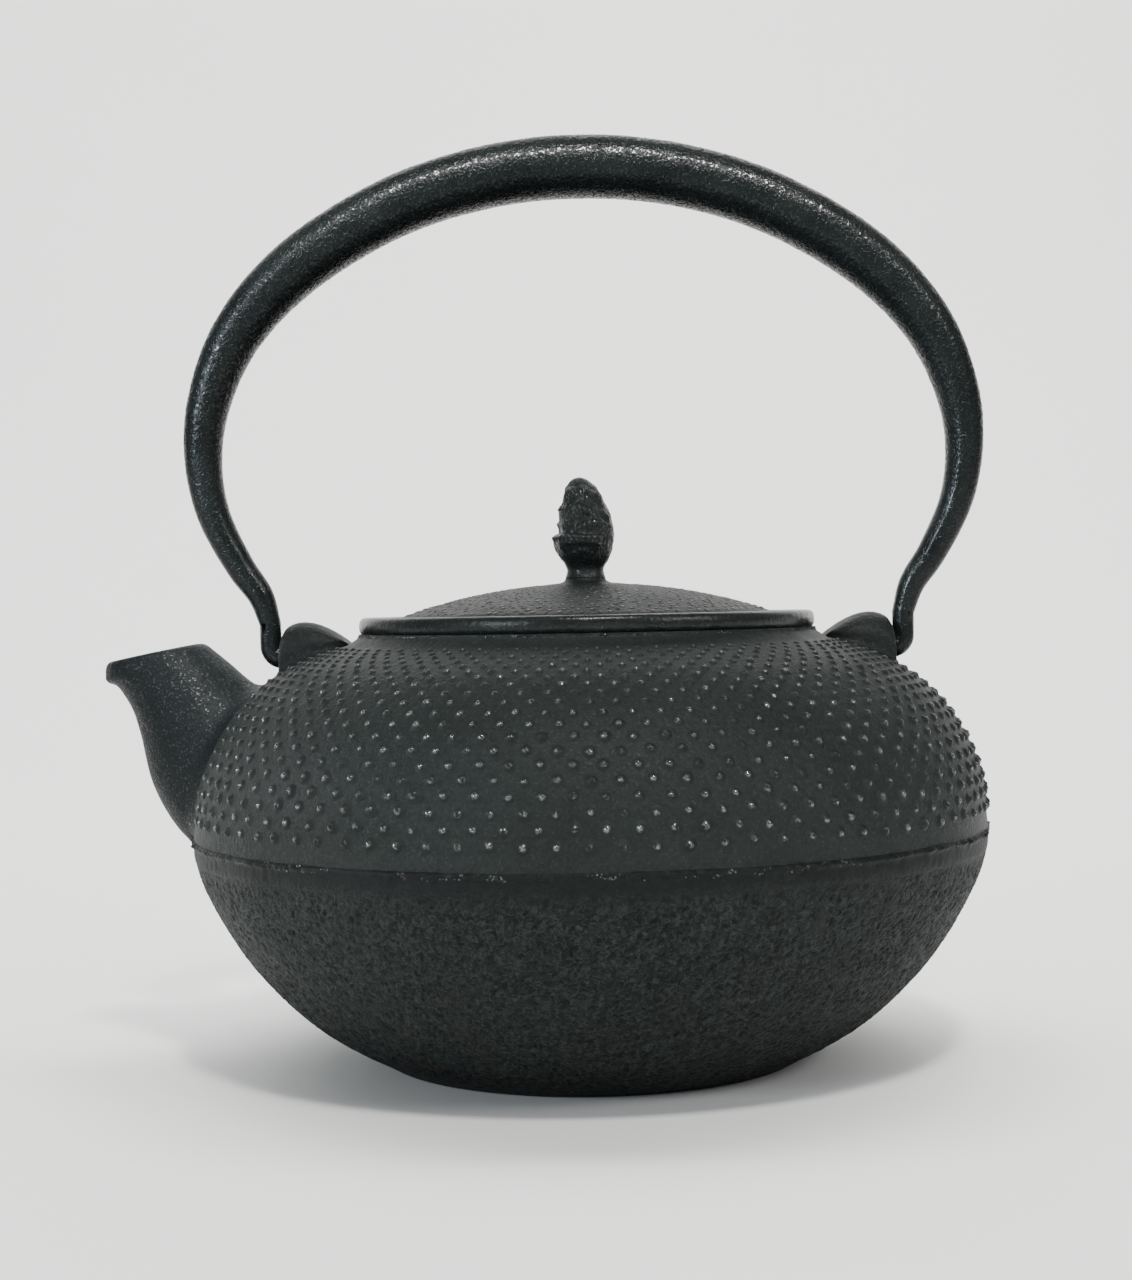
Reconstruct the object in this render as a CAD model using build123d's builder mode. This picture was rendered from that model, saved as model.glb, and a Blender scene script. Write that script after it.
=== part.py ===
"""Hobnail cast-iron teapot with a folding bow handle, a pinecone-knobbed lid and a steel infuser basket.

Frame: millimetres, +Z up. The origin is the middle of the flat base, the spout points along -X and the
handle's hinge line is parallel to X.
"""
import os
from math import atan2, cos, sin

from build123d import *

# ---------------------------------------------------------------- driving dimensions
# Pot: outer profile
BASE_R = 44.5            # flat face the pot stands on
BELLY_R = 84.6           # widest radius of the upper half, under the nubs
SEAM_Z = 46.8            # middle of the band where the two mould halves met
SEAM_H = 3.6             # height of that band
SEAM_R = 84.95
NECK_R = 48.0            # smooth ring that the lid's rim rests on
NECK_TOP_Z = 91.3
WALL = 3.2               # casting thickness
ENAMEL = 0.4             # fired lining on the inside

# Pot: mouth
NECK_SPLIT_Z = 86.0      # the neck's node begins here, just under the lid's skirt
MOUTH_R = 40.5
MOUTH_BORE = 12.0        # how far down the neck the straight bore runs
REBATE_R = 43.4          # step in the mouth that holds the infuser's flange
REBATE_DEPTH = 1.0

# Pot: ears that hold the handle
EAR_FACE_X = 65.8        # flat outer face of each ear
EAR_CREST_X = 60.5       # where the ear is highest
EAR_TOP_Z = 94.0
EAR_INNER_X = 49.0       # where the ear runs out on the shoulder, towards the lid
EAR_INNER_Z = 88.0
EAR_EDGE_DROP = 4.0      # how far under the crest the flat face ends
EAR_HALF_W = 8.0
EAR_ROOT_Z = 79.0        # below the shoulder's surface, so that the ear is cut to fit it
PIVOT_Z = 86.5
BORE_R = 2.4
BORE_DEPTH = 6.3

# Pot: spout
SPOUT_WALL = 2.6

# Handle
HOOK_R = 2.3             # bar radius at the hooked ends
HOOK_X = 68.4            # bar centre where it runs down beside the ear
HOOK_BEND_R = 2.6
HOOK_TIP_X = 60.2

# Lid
LID_R = 49.0
LID_RIM_T = 3.6
LID_RIM_ROUND = 1.5
DOME_R = 39.5            # where the dome leaves the flat rim
DOME_RISE = 6.6
LID_T = 3.0
SKIRT_R = 37.2
SKIRT_T = 3.0
SKIRT_DROP = 5.0
BOSS_R = 7.5             # smooth seat for the knob
BOSS_TOP_Z = 102.8
PAD_R = 6.0              # flat pad under the lid for the screw's washer
PAD_Z = 98.0
VENT_R = 1.5
VENT_Y = 24.0            # steam hole, on the far side of the lid

# Knob and its screw
KNOB_FOOT_R = 4.6
KNOB_NECK = (4.0, 104.4)
KNOB_CUP = (4.8, 106.0)
KNOB_BELLY = (6.2, 111.5)
KNOB_SHOULDER = (4.1, 120.8)
KNOB_CROWN = (2.9, 123.2)
KNOB_TOP_Z = 124.4
KNOB_TIP_R = 1.2         # small flat at the very tip
SCREW_R = 2.0
HOLE_CLEARANCE = 0.2     # the screw's holes in the lid and the washer are larger by this
SCREW_END_Z = 111.0
HEAD_R = 3.6
HEAD_H = 2.4
SLOT_W = 1.0
WASHER_R = 5.0
WASHER_T = 0.8

# Infuser basket
WALL_GAP = 2.0           # the mesh stops this far under the flange's underside
FLANGE_R = 42.9
FLANGE_T = 0.8
COLLAR_R = 39.0
COLLAR_DROP = 8.0
SHEET = 0.6
BASKET_BOTTOM_Z = 39.0
HEM_H = 3.6
HEM_LIP = 4.5
LAP_W = 6.0
LAP_T = 0.4

os.makedirs("parts", exist_ok=True)


def save(piece, name):
    """Label one finished piece and write it as its own STEP file."""
    piece.part.label = name
    export_step(piece.part, f"parts/{name}.step")


# ---------------------------------------------------------------- pot casting
SEAM_LOW_Z = SEAM_Z - SEAM_H / 2
SEAM_HIGH_Z = SEAM_Z + SEAM_H / 2
REBATE_Z = NECK_TOP_Z - REBATE_DEPTH
LOWER_POINTS = [(BASE_R, 0), (60.6, 10), (73.2, 23), (82.0, 38), (84.2, SEAM_LOW_Z - 0.6)]
UPPER_POINTS = [
    (BELLY_R, SEAM_HIGH_Z + 0.6),
    (83.2, 61),
    (76.6, 74),
    (66.6, 83),
    (53.6, 88.4),
    (NECK_R, 89.6),
]
LOWER_ENDS = [(1, 0.5), (0.05, 1)]       # direction of the outline at its first and last points
UPPER_ENDS = [(-0.01, 1), (-1, 0.12)]


def inset_points(points, ends, thickness):
    """Points of an outline moved inwards, square to the line between their neighbours."""
    moved = []
    for index, (radius, height) in enumerate(points):
        if index == 0:
            run, rise = ends[0]
        elif index == len(points) - 1:
            run, rise = ends[1]
        else:
            run = points[index + 1][0] - points[index - 1][0]
            rise = points[index + 1][1] - points[index - 1][1]
        length = (run**2 + rise**2) ** 0.5
        moved.append((radius - thickness * rise / length, height + thickness * run / length))
    return moved


def cavity_solid(thickness):
    """Space left inside the pot by a wall of a given thickness, floor to neck."""
    lower = inset_points(LOWER_POINTS, LOWER_ENDS, thickness)
    upper = inset_points(UPPER_POINTS, UPPER_ENDS, thickness)
    lower[0] = (BASE_R - thickness, thickness)
    with BuildPart() as space:
        with BuildSketch(Plane.XZ):
            with BuildLine():
                Line((0, thickness), lower[0])
                Spline(*lower)
                Line(lower[-1], upper[0])
                Spline(*upper)
                Polyline(upper[-1], (0, upper[-1][1]), (0, thickness))
            make_face()
        revolve(axis=Axis.Z)
    return space.part


# Spout stations, from the one buried in the belly to the one above the mouth: the ends of the
# section's chord in the XZ plane, and its half width across.
SPOUT_STATIONS = [
    ((-80.5, 42.5), (-57.0, 76.5), 19.0),
    ((-88.6, 49.6), (-65.5, 78.6), 17.5),
    ((-94.2, 59.5), (-72.0, 80.9), 15.0),
    ((-96.9, 71.0), (-77.8, 85.8), 12.4),
    ((-99.6, 79.0), (-81.6, 89.0), 10.6),
    ((-105.4, 87.0), (-86.6, 93.2), 9.0),
]
MOUTH_LIP = (-104.0, 86.2)
MOUTH_HEEL = (-83.0, 90.2)


def spout_section(station, inset):
    """Oval section across the spout, set in from its outside by an inset."""
    (front_x, front_z), (back_x, back_z), half_width = station
    half_height = ((back_x - front_x) ** 2 + (back_z - front_z) ** 2) ** 0.5 / 2
    along = ((front_x - back_x) / 2 / half_height, 0, (front_z - back_z) / 2 / half_height)
    normal = (along[2], 0, -along[0])
    middle = ((front_x + back_x) / 2, 0, (front_z + back_z) / 2)
    with BuildSketch(Plane(origin=middle, x_dir=along, z_dir=normal)) as section:
        Ellipse(half_height - inset, half_width - inset)
    return section.sketch


def spout_solid(inset):
    """The spout's outside (inset 0) or its channel (inset equal to the wall)."""
    with BuildPart() as horn:
        loft([spout_section(station, inset) for station in SPOUT_STATIONS])
    return horn.part


def ear_blank(side):
    """One lug on the shoulder, arched across and domed towards the lid; side is +1 or -1."""
    with BuildPart() as blank:
        with BuildSketch(Plane.XZ):
            with BuildLine():
                Polyline(
                    (side * EAR_INNER_X, EAR_ROOT_Z),
                    (side * EAR_FACE_X, EAR_ROOT_Z),
                    (side * EAR_FACE_X, EAR_TOP_Z - EAR_EDGE_DROP),
                )
                Spline(
                    (side * EAR_FACE_X, EAR_TOP_Z - EAR_EDGE_DROP),
                    (side * EAR_CREST_X, EAR_TOP_Z),
                    (side * EAR_INNER_X, EAR_INNER_Z),
                    tangents=[(0, 1), (-side, -0.75)],
                )
                Line((side * EAR_INNER_X, EAR_INNER_Z), (side * EAR_INNER_X, EAR_ROOT_Z))
            make_face()
        extrude(amount=EAR_HALF_W + 1, both=True)
        with BuildSketch(Plane.YZ):
            with Locations((0, EAR_TOP_Z - EAR_HALF_W)):
                Circle(EAR_HALF_W)
            with Locations((0, EAR_ROOT_Z)):
                Rectangle(
                    2 * EAR_HALF_W,
                    EAR_TOP_Z - EAR_HALF_W - EAR_ROOT_Z,
                    align=(Align.CENTER, Align.MIN),
                )
        extrude(amount=BELLY_R, both=True, mode=Mode.INTERSECT)
    return blank.part


def hook_bore(side):
    """Blind bore in one ear, which the handle's hook turns in."""
    with BuildPart() as bore:
        with BuildSketch(Plane(origin=(side * EAR_FACE_X, 0, PIVOT_Z), x_dir=(0, 1, 0), z_dir=(side, 0, 0))):
            Circle(BORE_R)
        extrude(amount=-BORE_DEPTH)
    return bore.part


pot_cavity = cavity_solid(WALL)
lining_cavity = cavity_solid(WALL + ENAMEL)
spout_outside = spout_solid(0)
spout_channel = spout_solid(SPOUT_WALL)
bores = {side: hook_bore(side) for side in (1, -1)}

with BuildPart() as body_blank:
    with BuildSketch(Plane.XZ):
        with BuildLine():
            Line((0, 0), LOWER_POINTS[0])
            Spline(*LOWER_POINTS)
            Polyline(
                LOWER_POINTS[-1],
                (SEAM_R, SEAM_LOW_Z),
                (SEAM_R, SEAM_HIGH_Z),
                UPPER_POINTS[0],
            )
            Spline(*UPPER_POINTS)
            Polyline(UPPER_POINTS[-1], (NECK_R, NECK_TOP_Z), (0, NECK_TOP_Z), (0, 0))
        make_face()
    revolve(axis=Axis.Z)

# One iron casting, written as its lower half, shoulder, neck, spout and two ears, which meet face to face.
with BuildPart() as shell:
    add(body_blank.part)
    add(pot_cavity, mode=Mode.SUBTRACT)
    add(spout_channel, mode=Mode.SUBTRACT)
    add(list(bores.values()), mode=Mode.SUBTRACT)
    # mouth bore and the step for the infuser's flange
    with BuildSketch(Plane.XY.offset(NECK_TOP_Z)):
        Circle(MOUTH_R)
    extrude(amount=-MOUTH_BORE, mode=Mode.SUBTRACT)
    with BuildSketch(Plane.XY.offset(NECK_TOP_Z)):
        Circle(REBATE_R)
    extrude(amount=-REBATE_DEPTH, mode=Mode.SUBTRACT)

with BuildPart() as pot_lower:
    add(shell.part)
    split(bisect_by=Plane.XY.offset(SEAM_Z), keep=Keep.BOTTOM)
save(pot_lower, "pot_lower")

with BuildPart() as pot_shoulder:
    add(shell.part)
    split(bisect_by=Plane.XY.offset(SEAM_Z), keep=Keep.TOP)
    split(bisect_by=Plane.XY.offset(NECK_SPLIT_Z), keep=Keep.BOTTOM)
save(pot_shoulder, "pot_shoulder")

with BuildPart() as pot_neck:
    add(shell.part)
    split(bisect_by=Plane.XY.offset(NECK_SPLIT_Z), keep=Keep.TOP)
save(pot_neck, "pot_neck")

with BuildPart() as pot_spout:
    add(spout_outside)
    add(body_blank.part, mode=Mode.SUBTRACT)
    add(spout_channel, mode=Mode.SUBTRACT)
    # the spout's mouth is cut on a slope, lip lowest
    mouth_angle = atan2(MOUTH_HEEL[1] - MOUTH_LIP[1], MOUTH_HEEL[0] - MOUTH_LIP[0])
    mouth_plane = Plane(
        origin=(MOUTH_LIP[0], 0, MOUTH_LIP[1]),
        x_dir=(cos(mouth_angle), 0, sin(mouth_angle)),
        z_dir=(-sin(mouth_angle), 0, cos(mouth_angle)),
    )
    split(bisect_by=mouth_plane, keep=Keep.BOTTOM)
save(pot_spout, "pot_spout")

with BuildPart() as far_ear:
    add(ear_blank(1))
    add(body_blank.part, mode=Mode.SUBTRACT)
    add(bores[1], mode=Mode.SUBTRACT)
save(far_ear, "far_ear")

with BuildPart() as spout_side_ear:
    add(ear_blank(-1))
    add(body_blank.part, mode=Mode.SUBTRACT)
    add(bores[-1], mode=Mode.SUBTRACT)
save(spout_side_ear, "spout_side_ear")

# ---------------------------------------------------------------- enamel lining
with BuildPart() as enamel_lining:
    add(pot_cavity)
    add(lining_cavity, mode=Mode.SUBTRACT)
    add(spout_channel, mode=Mode.SUBTRACT)
    with BuildSketch(Plane.XY.offset(NECK_TOP_Z)):
        Circle(MOUTH_R)
    extrude(amount=-MOUTH_BORE, mode=Mode.SUBTRACT)
save(enamel_lining, "enamel_lining")

# ---------------------------------------------------------------- lid
DOME_SPHERE_R = (DOME_R**2 + DOME_RISE**2) / (2 * DOME_RISE)
RIM_TOP_Z = NECK_TOP_Z + LID_RIM_T
DOME_TOP_Z = RIM_TOP_Z + DOME_RISE
DOME_CENTRE_Z = DOME_TOP_Z - DOME_SPHERE_R


def dome_z(radius, depth=0.0):
    """Height of the lid's dome at a radius, or of a surface the given depth under it."""
    return DOME_CENTRE_Z + ((DOME_SPHERE_R - depth) ** 2 - radius**2) ** 0.5


with BuildPart() as lid:
    with BuildSketch(Plane.XZ):
        with BuildLine():
            Polyline(
                (PAD_R, PAD_Z),
                (0, PAD_Z),
                (0, BOSS_TOP_Z),
                (BOSS_R - 2.5, BOSS_TOP_Z),
            )
            ThreePointArc(
                (BOSS_R - 2.5, BOSS_TOP_Z),
                (BOSS_R - 1.7, dome_z(BOSS_R) + 0.5),
                (BOSS_R, dome_z(BOSS_R)),
            )
            ThreePointArc((BOSS_R, dome_z(BOSS_R)), (25.0, dome_z(25.0)), (DOME_R, RIM_TOP_Z))
            Polyline(
                (DOME_R, RIM_TOP_Z),
                (LID_R, RIM_TOP_Z),
                (LID_R, NECK_TOP_Z),
                (SKIRT_R, NECK_TOP_Z),
                (SKIRT_R, NECK_TOP_Z - SKIRT_DROP),
                (SKIRT_R - SKIRT_T, NECK_TOP_Z - SKIRT_DROP),
                (SKIRT_R - SKIRT_T, dome_z(SKIRT_R - SKIRT_T, LID_T)),
            )
            ThreePointArc(
                (SKIRT_R - SKIRT_T, dome_z(SKIRT_R - SKIRT_T, LID_T)),
                (20.0, dome_z(20.0, LID_T)),
                (PAD_R, dome_z(PAD_R, LID_T)),
            )
            Line((PAD_R, dome_z(PAD_R, LID_T)), (PAD_R, PAD_Z))
        make_face()
    revolve(axis=Axis.Z)
    rim_edges = lid.edges().filter_by(GeomType.CIRCLE).filter_by(lambda edge: abs(edge.radius - LID_R) < 0.01)
    fillet(rim_edges, LID_RIM_ROUND)
    with BuildSketch(Plane.XY.offset(BOSS_TOP_Z)):
        Circle(SCREW_R + HOLE_CLEARANCE)
    extrude(amount=PAD_Z - BOSS_TOP_Z, mode=Mode.SUBTRACT)
    with BuildSketch(Plane.XY.offset(DOME_TOP_Z)):
        with Locations((0, VENT_Y)):
            Circle(VENT_R)
    extrude(amount=-DOME_RISE - LID_T, mode=Mode.SUBTRACT)
save(lid, "lid")

# ---------------------------------------------------------------- knob, washer and screw
with BuildPart() as lid_knob:
    with BuildSketch(Plane.XZ):
        with BuildLine():
            Polyline((KNOB_TIP_R, KNOB_TOP_Z), (0, KNOB_TOP_Z), (0, BOSS_TOP_Z), (KNOB_FOOT_R, BOSS_TOP_Z))
            ThreePointArc((KNOB_FOOT_R, BOSS_TOP_Z), KNOB_NECK, KNOB_CUP)
            ThreePointArc(KNOB_CUP, KNOB_BELLY, KNOB_SHOULDER)
            ThreePointArc(KNOB_SHOULDER, KNOB_CROWN, (KNOB_TIP_R, KNOB_TOP_Z))
        make_face()
    revolve(axis=Axis.Z)
    with BuildSketch(Plane.XY.offset(BOSS_TOP_Z)):
        Circle(SCREW_R)
    extrude(amount=SCREW_END_Z - BOSS_TOP_Z, mode=Mode.SUBTRACT)
save(lid_knob, "lid_knob")

with BuildPart() as knob_washer:
    with BuildSketch(Plane.XY.offset(PAD_Z)):
        Circle(WASHER_R)
        Circle(SCREW_R + HOLE_CLEARANCE, mode=Mode.SUBTRACT)
    extrude(amount=-WASHER_T)
save(knob_washer, "knob_washer")

HEAD_Z = PAD_Z - WASHER_T
with BuildPart() as knob_screw:
    with BuildSketch(Plane.XY.offset(HEAD_Z)):
        Circle(HEAD_R)
    extrude(amount=-HEAD_H)
    fillet(knob_screw.faces().sort_by(Axis.Z)[0].edges(), HEAD_H / 2)
    with BuildSketch(Plane.XY.offset(HEAD_Z)):
        Circle(SCREW_R)
    extrude(amount=SCREW_END_Z - HEAD_Z)
    # driving slot across the head
    with BuildSketch(Plane.XY.offset(HEAD_Z - HEAD_H)):
        Rectangle(2 * HEAD_R, SLOT_W)
    extrude(amount=HEAD_H / 2, mode=Mode.SUBTRACT)
save(knob_screw, "knob_screw")

# ---------------------------------------------------------------- handle
# Stations down one side of the bow: centre x, centre z, thickness in the bow's plane, width across it.
HANDLE_STATIONS = [
    (0.0, 191.2, 13.4, 15.0),
    (20.0, 189.3, 13.2, 14.8),
    (41.0, 182.8, 12.8, 14.2),
    (62.2, 169.9, 12.2, 13.2),
    (74.6, 156.2, 10.8, 11.8),
    (80.6, 142.4, 9.3, 10.4),
    (82.2, 131.0, 8.2, 9.2),
    (80.5, 118.7, 7.2, 7.8),
    (74.8, 106.6, 6.3, 6.4),
    (70.4, 100.0, 5.6, 5.6),
    (HOOK_X, 94.0, 2 * HOOK_R, 2 * HOOK_R),
]


def handle_sections():
    """Oval sections square to the bow, from one hook over the top to the other."""
    left = [(-x, z, thickness, width) for x, z, thickness, width in reversed(HANDLE_STATIONS[1:])]
    stations = left + HANDLE_STATIONS
    last = len(stations) - 1
    sections = []
    for index, (x, z, thickness, width) in enumerate(stations):
        before = stations[max(index - 1, 0)]
        after = stations[min(index + 1, last)]
        run, rise = after[0] - before[0], after[1] - before[1]
        if index in (0, last):
            run = 0
        length = (run**2 + rise**2) ** 0.5
        forward = (run / length, 0, rise / length)
        outward = (-forward[2], 0, forward[0])
        with BuildSketch(Plane(origin=(x, 0, z), x_dir=outward, z_dir=forward)) as section:
            Ellipse(thickness / 2, width / 2)
        sections.append(section.sketch)
    return sections


with BuildPart() as handle:
    loft(handle_sections())
    for side in (1, -1):
        with BuildLine() as hook_path:
            FilletPolyline(
                (side * HOOK_X, 0, HANDLE_STATIONS[-1][1]),
                (side * HOOK_X, 0, PIVOT_Z),
                (side * HOOK_TIP_X, 0, PIVOT_Z),
                radius=HOOK_BEND_R,
            )
        with BuildSketch(Plane(origin=hook_path.line @ 0, x_dir=(0, 1, 0), z_dir=(0, 0, -1))):
            Circle(HOOK_R)
        sweep(path=hook_path.line)
save(handle, "handle")

# ---------------------------------------------------------------- infuser basket
WALL_R = COLLAR_R - SHEET            # outside of the mesh wall, inside of the collar and hem
HEM_TOP_Z = BASKET_BOTTOM_Z + HEM_H
COLLAR_BOTTOM_Z = REBATE_Z - COLLAR_DROP

with BuildPart() as infuser_rim:
    with BuildSketch(Plane.XZ):
        with BuildLine():
            Polyline(
                (WALL_R, COLLAR_BOTTOM_Z),
                (COLLAR_R, COLLAR_BOTTOM_Z),
                (COLLAR_R, REBATE_Z),
                (FLANGE_R, REBATE_Z),
                (FLANGE_R, REBATE_Z + FLANGE_T),
                (WALL_R, REBATE_Z + FLANGE_T),
                close=True,
            )
        make_face()
    revolve(axis=Axis.Z)
save(infuser_rim, "infuser_rim")

with BuildPart() as infuser_wall:
    with BuildSketch(Plane.XY.offset(BASKET_BOTTOM_Z + 2 * SHEET)):
        Circle(WALL_R)
        Circle(WALL_R - SHEET, mode=Mode.SUBTRACT)
    extrude(amount=REBATE_Z - WALL_GAP - BASKET_BOTTOM_Z - 2 * SHEET)
save(infuser_wall, "infuser_wall")

with BuildPart() as infuser_lap:
    with BuildSketch(Plane.XY.offset(HEM_TOP_Z)):
        Circle(WALL_R + LAP_T)
        Circle(WALL_R, mode=Mode.SUBTRACT)
        with Locations((0, WALL_R)):
            Rectangle(LAP_W, 4 * LAP_T, mode=Mode.INTERSECT)
    extrude(amount=COLLAR_BOTTOM_Z - HEM_TOP_Z)
save(infuser_lap, "infuser_lap_seam")

with BuildPart() as infuser_hem:
    with BuildSketch(Plane.XZ):
        with BuildLine():
            Polyline(
                (COLLAR_R - HEM_LIP, BASKET_BOTTOM_Z),
                (COLLAR_R, BASKET_BOTTOM_Z),
                (COLLAR_R, HEM_TOP_Z),
                (WALL_R, HEM_TOP_Z),
                (WALL_R, BASKET_BOTTOM_Z + SHEET),
                (COLLAR_R - HEM_LIP, BASKET_BOTTOM_Z + SHEET),
                close=True,
            )
        make_face()
    revolve(axis=Axis.Z)
save(infuser_hem, "infuser_base_ring")

with BuildPart() as infuser_base:
    with BuildSketch(Plane.XY.offset(BASKET_BOTTOM_Z + SHEET)):
        Circle(WALL_R)
    extrude(amount=SHEET)
save(infuser_base, "infuser_base_mesh")

pieces = [
    pot_lower,
    pot_shoulder,
    pot_neck,
    pot_spout,
    far_ear,
    spout_side_ear,
    enamel_lining,
    lid,
    lid_knob,
    knob_washer,
    knob_screw,
    handle,
    infuser_rim,
    infuser_wall,
    infuser_lap,
    infuser_hem,
    infuser_base,
]
for piece in pieces:
    print(f"{piece.part.label}: {piece.part.volume / 1000:.2f} cm3")
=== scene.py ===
"""Looks of the hobnail cast-iron teapot: castings with real nubs and rough iron, lacquered bow, mesh basket.

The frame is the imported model's: origin at the middle of the base, +Z up, spout to -X. Shapes are worked out
in millimetres, and make_object turns them into metres.
"""
from math import cos, hypot, pi, radians, sin, sqrt

import bpy
import numpy as np
from mathutils import Matrix, Vector, noise


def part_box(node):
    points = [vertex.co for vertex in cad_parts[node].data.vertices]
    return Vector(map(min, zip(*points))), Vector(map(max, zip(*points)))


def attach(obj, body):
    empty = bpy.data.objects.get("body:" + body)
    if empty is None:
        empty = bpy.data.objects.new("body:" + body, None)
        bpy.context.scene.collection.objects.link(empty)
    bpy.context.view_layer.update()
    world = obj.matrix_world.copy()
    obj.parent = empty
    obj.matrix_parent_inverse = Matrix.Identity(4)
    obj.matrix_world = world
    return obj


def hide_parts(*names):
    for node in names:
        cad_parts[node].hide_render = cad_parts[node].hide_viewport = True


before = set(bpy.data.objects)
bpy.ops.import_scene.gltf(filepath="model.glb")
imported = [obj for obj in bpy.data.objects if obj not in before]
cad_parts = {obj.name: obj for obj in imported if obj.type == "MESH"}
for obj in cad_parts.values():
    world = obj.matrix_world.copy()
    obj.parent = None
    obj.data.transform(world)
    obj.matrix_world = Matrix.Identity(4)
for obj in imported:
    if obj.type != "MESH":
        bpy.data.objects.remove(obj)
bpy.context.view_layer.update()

MM = 0.001

# ---------------------------------------------------------------- driving sizes (mm)
# the pot's outside at the feet of the nubs, as (radius, height)
LOWER_OUTLINE = [(44.5, 0.0), (60.6, 10.0), (73.2, 23.0), (82.0, 38.0), (84.2, 44.4)]
UPPER_OUTLINE = [(84.6, 49.2), (83.2, 61.0), (76.6, 74.0), (66.6, 83.0), (53.6, 88.4), (48.0, 89.6)]
SEAM_LOW_Z, SMOOTH_FROM_Z = 45.0, 44.6     # the upper outline starts, the smooth iron starts
TORN_EDGE_R, TORN_EDGE_Z = 84.72, 48.3
NECK_R, NECK_TOP_Z = 48.0, 91.3
NECK_EDGE_R, NECK_EDGE_Z = 49.05, 90.85
REBATE_R, REBATE_Z, MOUTH_R = 43.4, 90.3, 40.5
WALL = 3.2
NUBS_PER_ROW = 88
NUB_SIZE, FULL_SPACING = 0.98, 6.04        # a nub's size where the nubs are this far apart
FLATTENED_NUB = 0.4                        # share of its size left to a nub under the folded bow
SPECK_STEPS = 2600
WORM_HEIGHT, FLECK_HEIGHT, BOW_GRAIN = 0.30, 0.45, 0.10

EAR_FACE_X, EAR_HALF_W, EAR_INNER_X = 65.8, 8.0, 50.6
EAR_CREST = [
    (EAR_INNER_X, 88.6), (51.6, 89.8), (53.4, 91.3), (55.9, 92.8),
    (59.2, 94.0), (62.2, 94.1), (64.6, 93.1), (EAR_FACE_X, 91.2),
]
EAR_SECTIONS_X = [
    EAR_INNER_X, 51.0, 51.6, 52.4, 53.4, 54.6, 56.0, 57.6, 59.2, 60.8, 62.2, 63.4, 64.3, 64.9, 65.3, 65.55,
]
PIVOT_Z, BORE_R, BORE_DEPTH = 86.5, 2.4, 6.3

LID_R, RIM_TOP_Z, DOME_R, DOME_RISE = 49.0, 94.9, 39.5, 6.6
SMOOTH_RIM_R = 46.5                        # the lid's rim is rubbed smooth from here out
SKIRT_R, SKIRT_T, SKIRT_END_Z, LID_T = 37.2, 3.0, 86.3, 3.0
BOSS_R, BOSS_TOP_Z, PAD_R, PAD_Z = 7.5, 102.8, 6.0, 98.0
VENT_Y = 24.0

# the spout's (x, z) on its front and on its back, and its half width
SPOUT_STATIONS = [
    ((-80.5, 42.5), (-57.0, 76.5), 19.0),
    ((-88.6, 49.6), (-65.5, 78.6), 17.5),
    ((-94.2, 59.5), (-72.0, 80.9), 15.0),
    ((-96.9, 71.0), (-77.8, 85.8), 12.4),
    ((-99.6, 79.0), (-81.6, 89.0), 10.6),
    ((-105.0, 87.0), (-86.6, 93.2), 9.0),
]
SPOUT_WALL = 2.6
MOUTH_LIP, MOUTH_HEEL = (-104.0, 86.2), (-83.0, 90.2)

# the bow's x, z, thickness and width, from its top to its hook
HANDLE_STATIONS = [
    (0.0, 191.2, 13.4, 15.0), (20.0, 189.3, 13.2, 14.8), (41.0, 182.8, 12.8, 14.2), (62.2, 169.9, 12.2, 13.2),
    (74.6, 156.2, 10.8, 11.8), (80.6, 142.4, 9.3, 10.4), (82.2, 131.0, 8.2, 9.2), (80.5, 118.7, 7.2, 7.8),
    (74.8, 106.6, 6.3, 6.4), (70.4, 100.0, 5.6, 5.6), (68.4, 94.0, 4.6, 4.6),
]
HOOK_X, HOOK_TIP_X, HOOK_BEND_R, HOOK_THICK = 68.4, 60.2, 2.6, 4.6
BAR_ROUNDNESS = 0.94                       # 1 is an ellipse, less is fuller at its corners


# ---------------------------------------------------------------- camera
CAMERA_DISTANCE, CAMERA_HEIGHT = 467.0, 96.9
SENSOR_HEIGHT, FOCAL_LENGTH = 24.0, 40.471875
AIM_LEFT, AIM_DOWN = 0.388125, 0.665625    # how far it looks off straight ahead, in mm at the sensor
CAMERA_ROLL = 0.0192                       # radians


def add_camera():
    """Camera at the picture's viewing angle: level with the lid's rim, turned slightly anticlockwise."""
    data = bpy.data.cameras.new("camera")
    data.sensor_fit = "VERTICAL"
    data.sensor_height = SENSOR_HEIGHT
    data.lens = FOCAL_LENGTH
    camera = bpy.data.objects.new("camera", data)
    bpy.context.scene.collection.objects.link(camera)
    forward = Vector((-AIM_LEFT, FOCAL_LENGTH, -AIM_DOWN)).normalized()
    right = forward.cross(Vector((0, 0, 1))).normalized()
    up = right.cross(forward) * cos(CAMERA_ROLL) + right * sin(CAMERA_ROLL)
    turn = Matrix((forward.cross(up), up, -forward)).transposed().to_4x4()
    camera.matrix_world = Matrix.Translation((0, -CAMERA_DISTANCE * MM, CAMERA_HEIGHT * MM)) @ turn
    bpy.context.scene.camera = camera


add_camera()


# ---------------------------------------------------------------- curve helpers
def between(t, low, high, first, last):
    """Straight blend from first to last while t goes from low to high."""
    return (high - t) / (high - low) * first + (t - low) / (high - low) * last


def rounded(t, first, corner, last):
    """Curve that leaves first towards a corner and comes to last from it, while t goes from 0 to 1."""
    return (1 - t) ** 2 * first + 2 * t * (1 - t) * corner + t**2 * last


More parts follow.
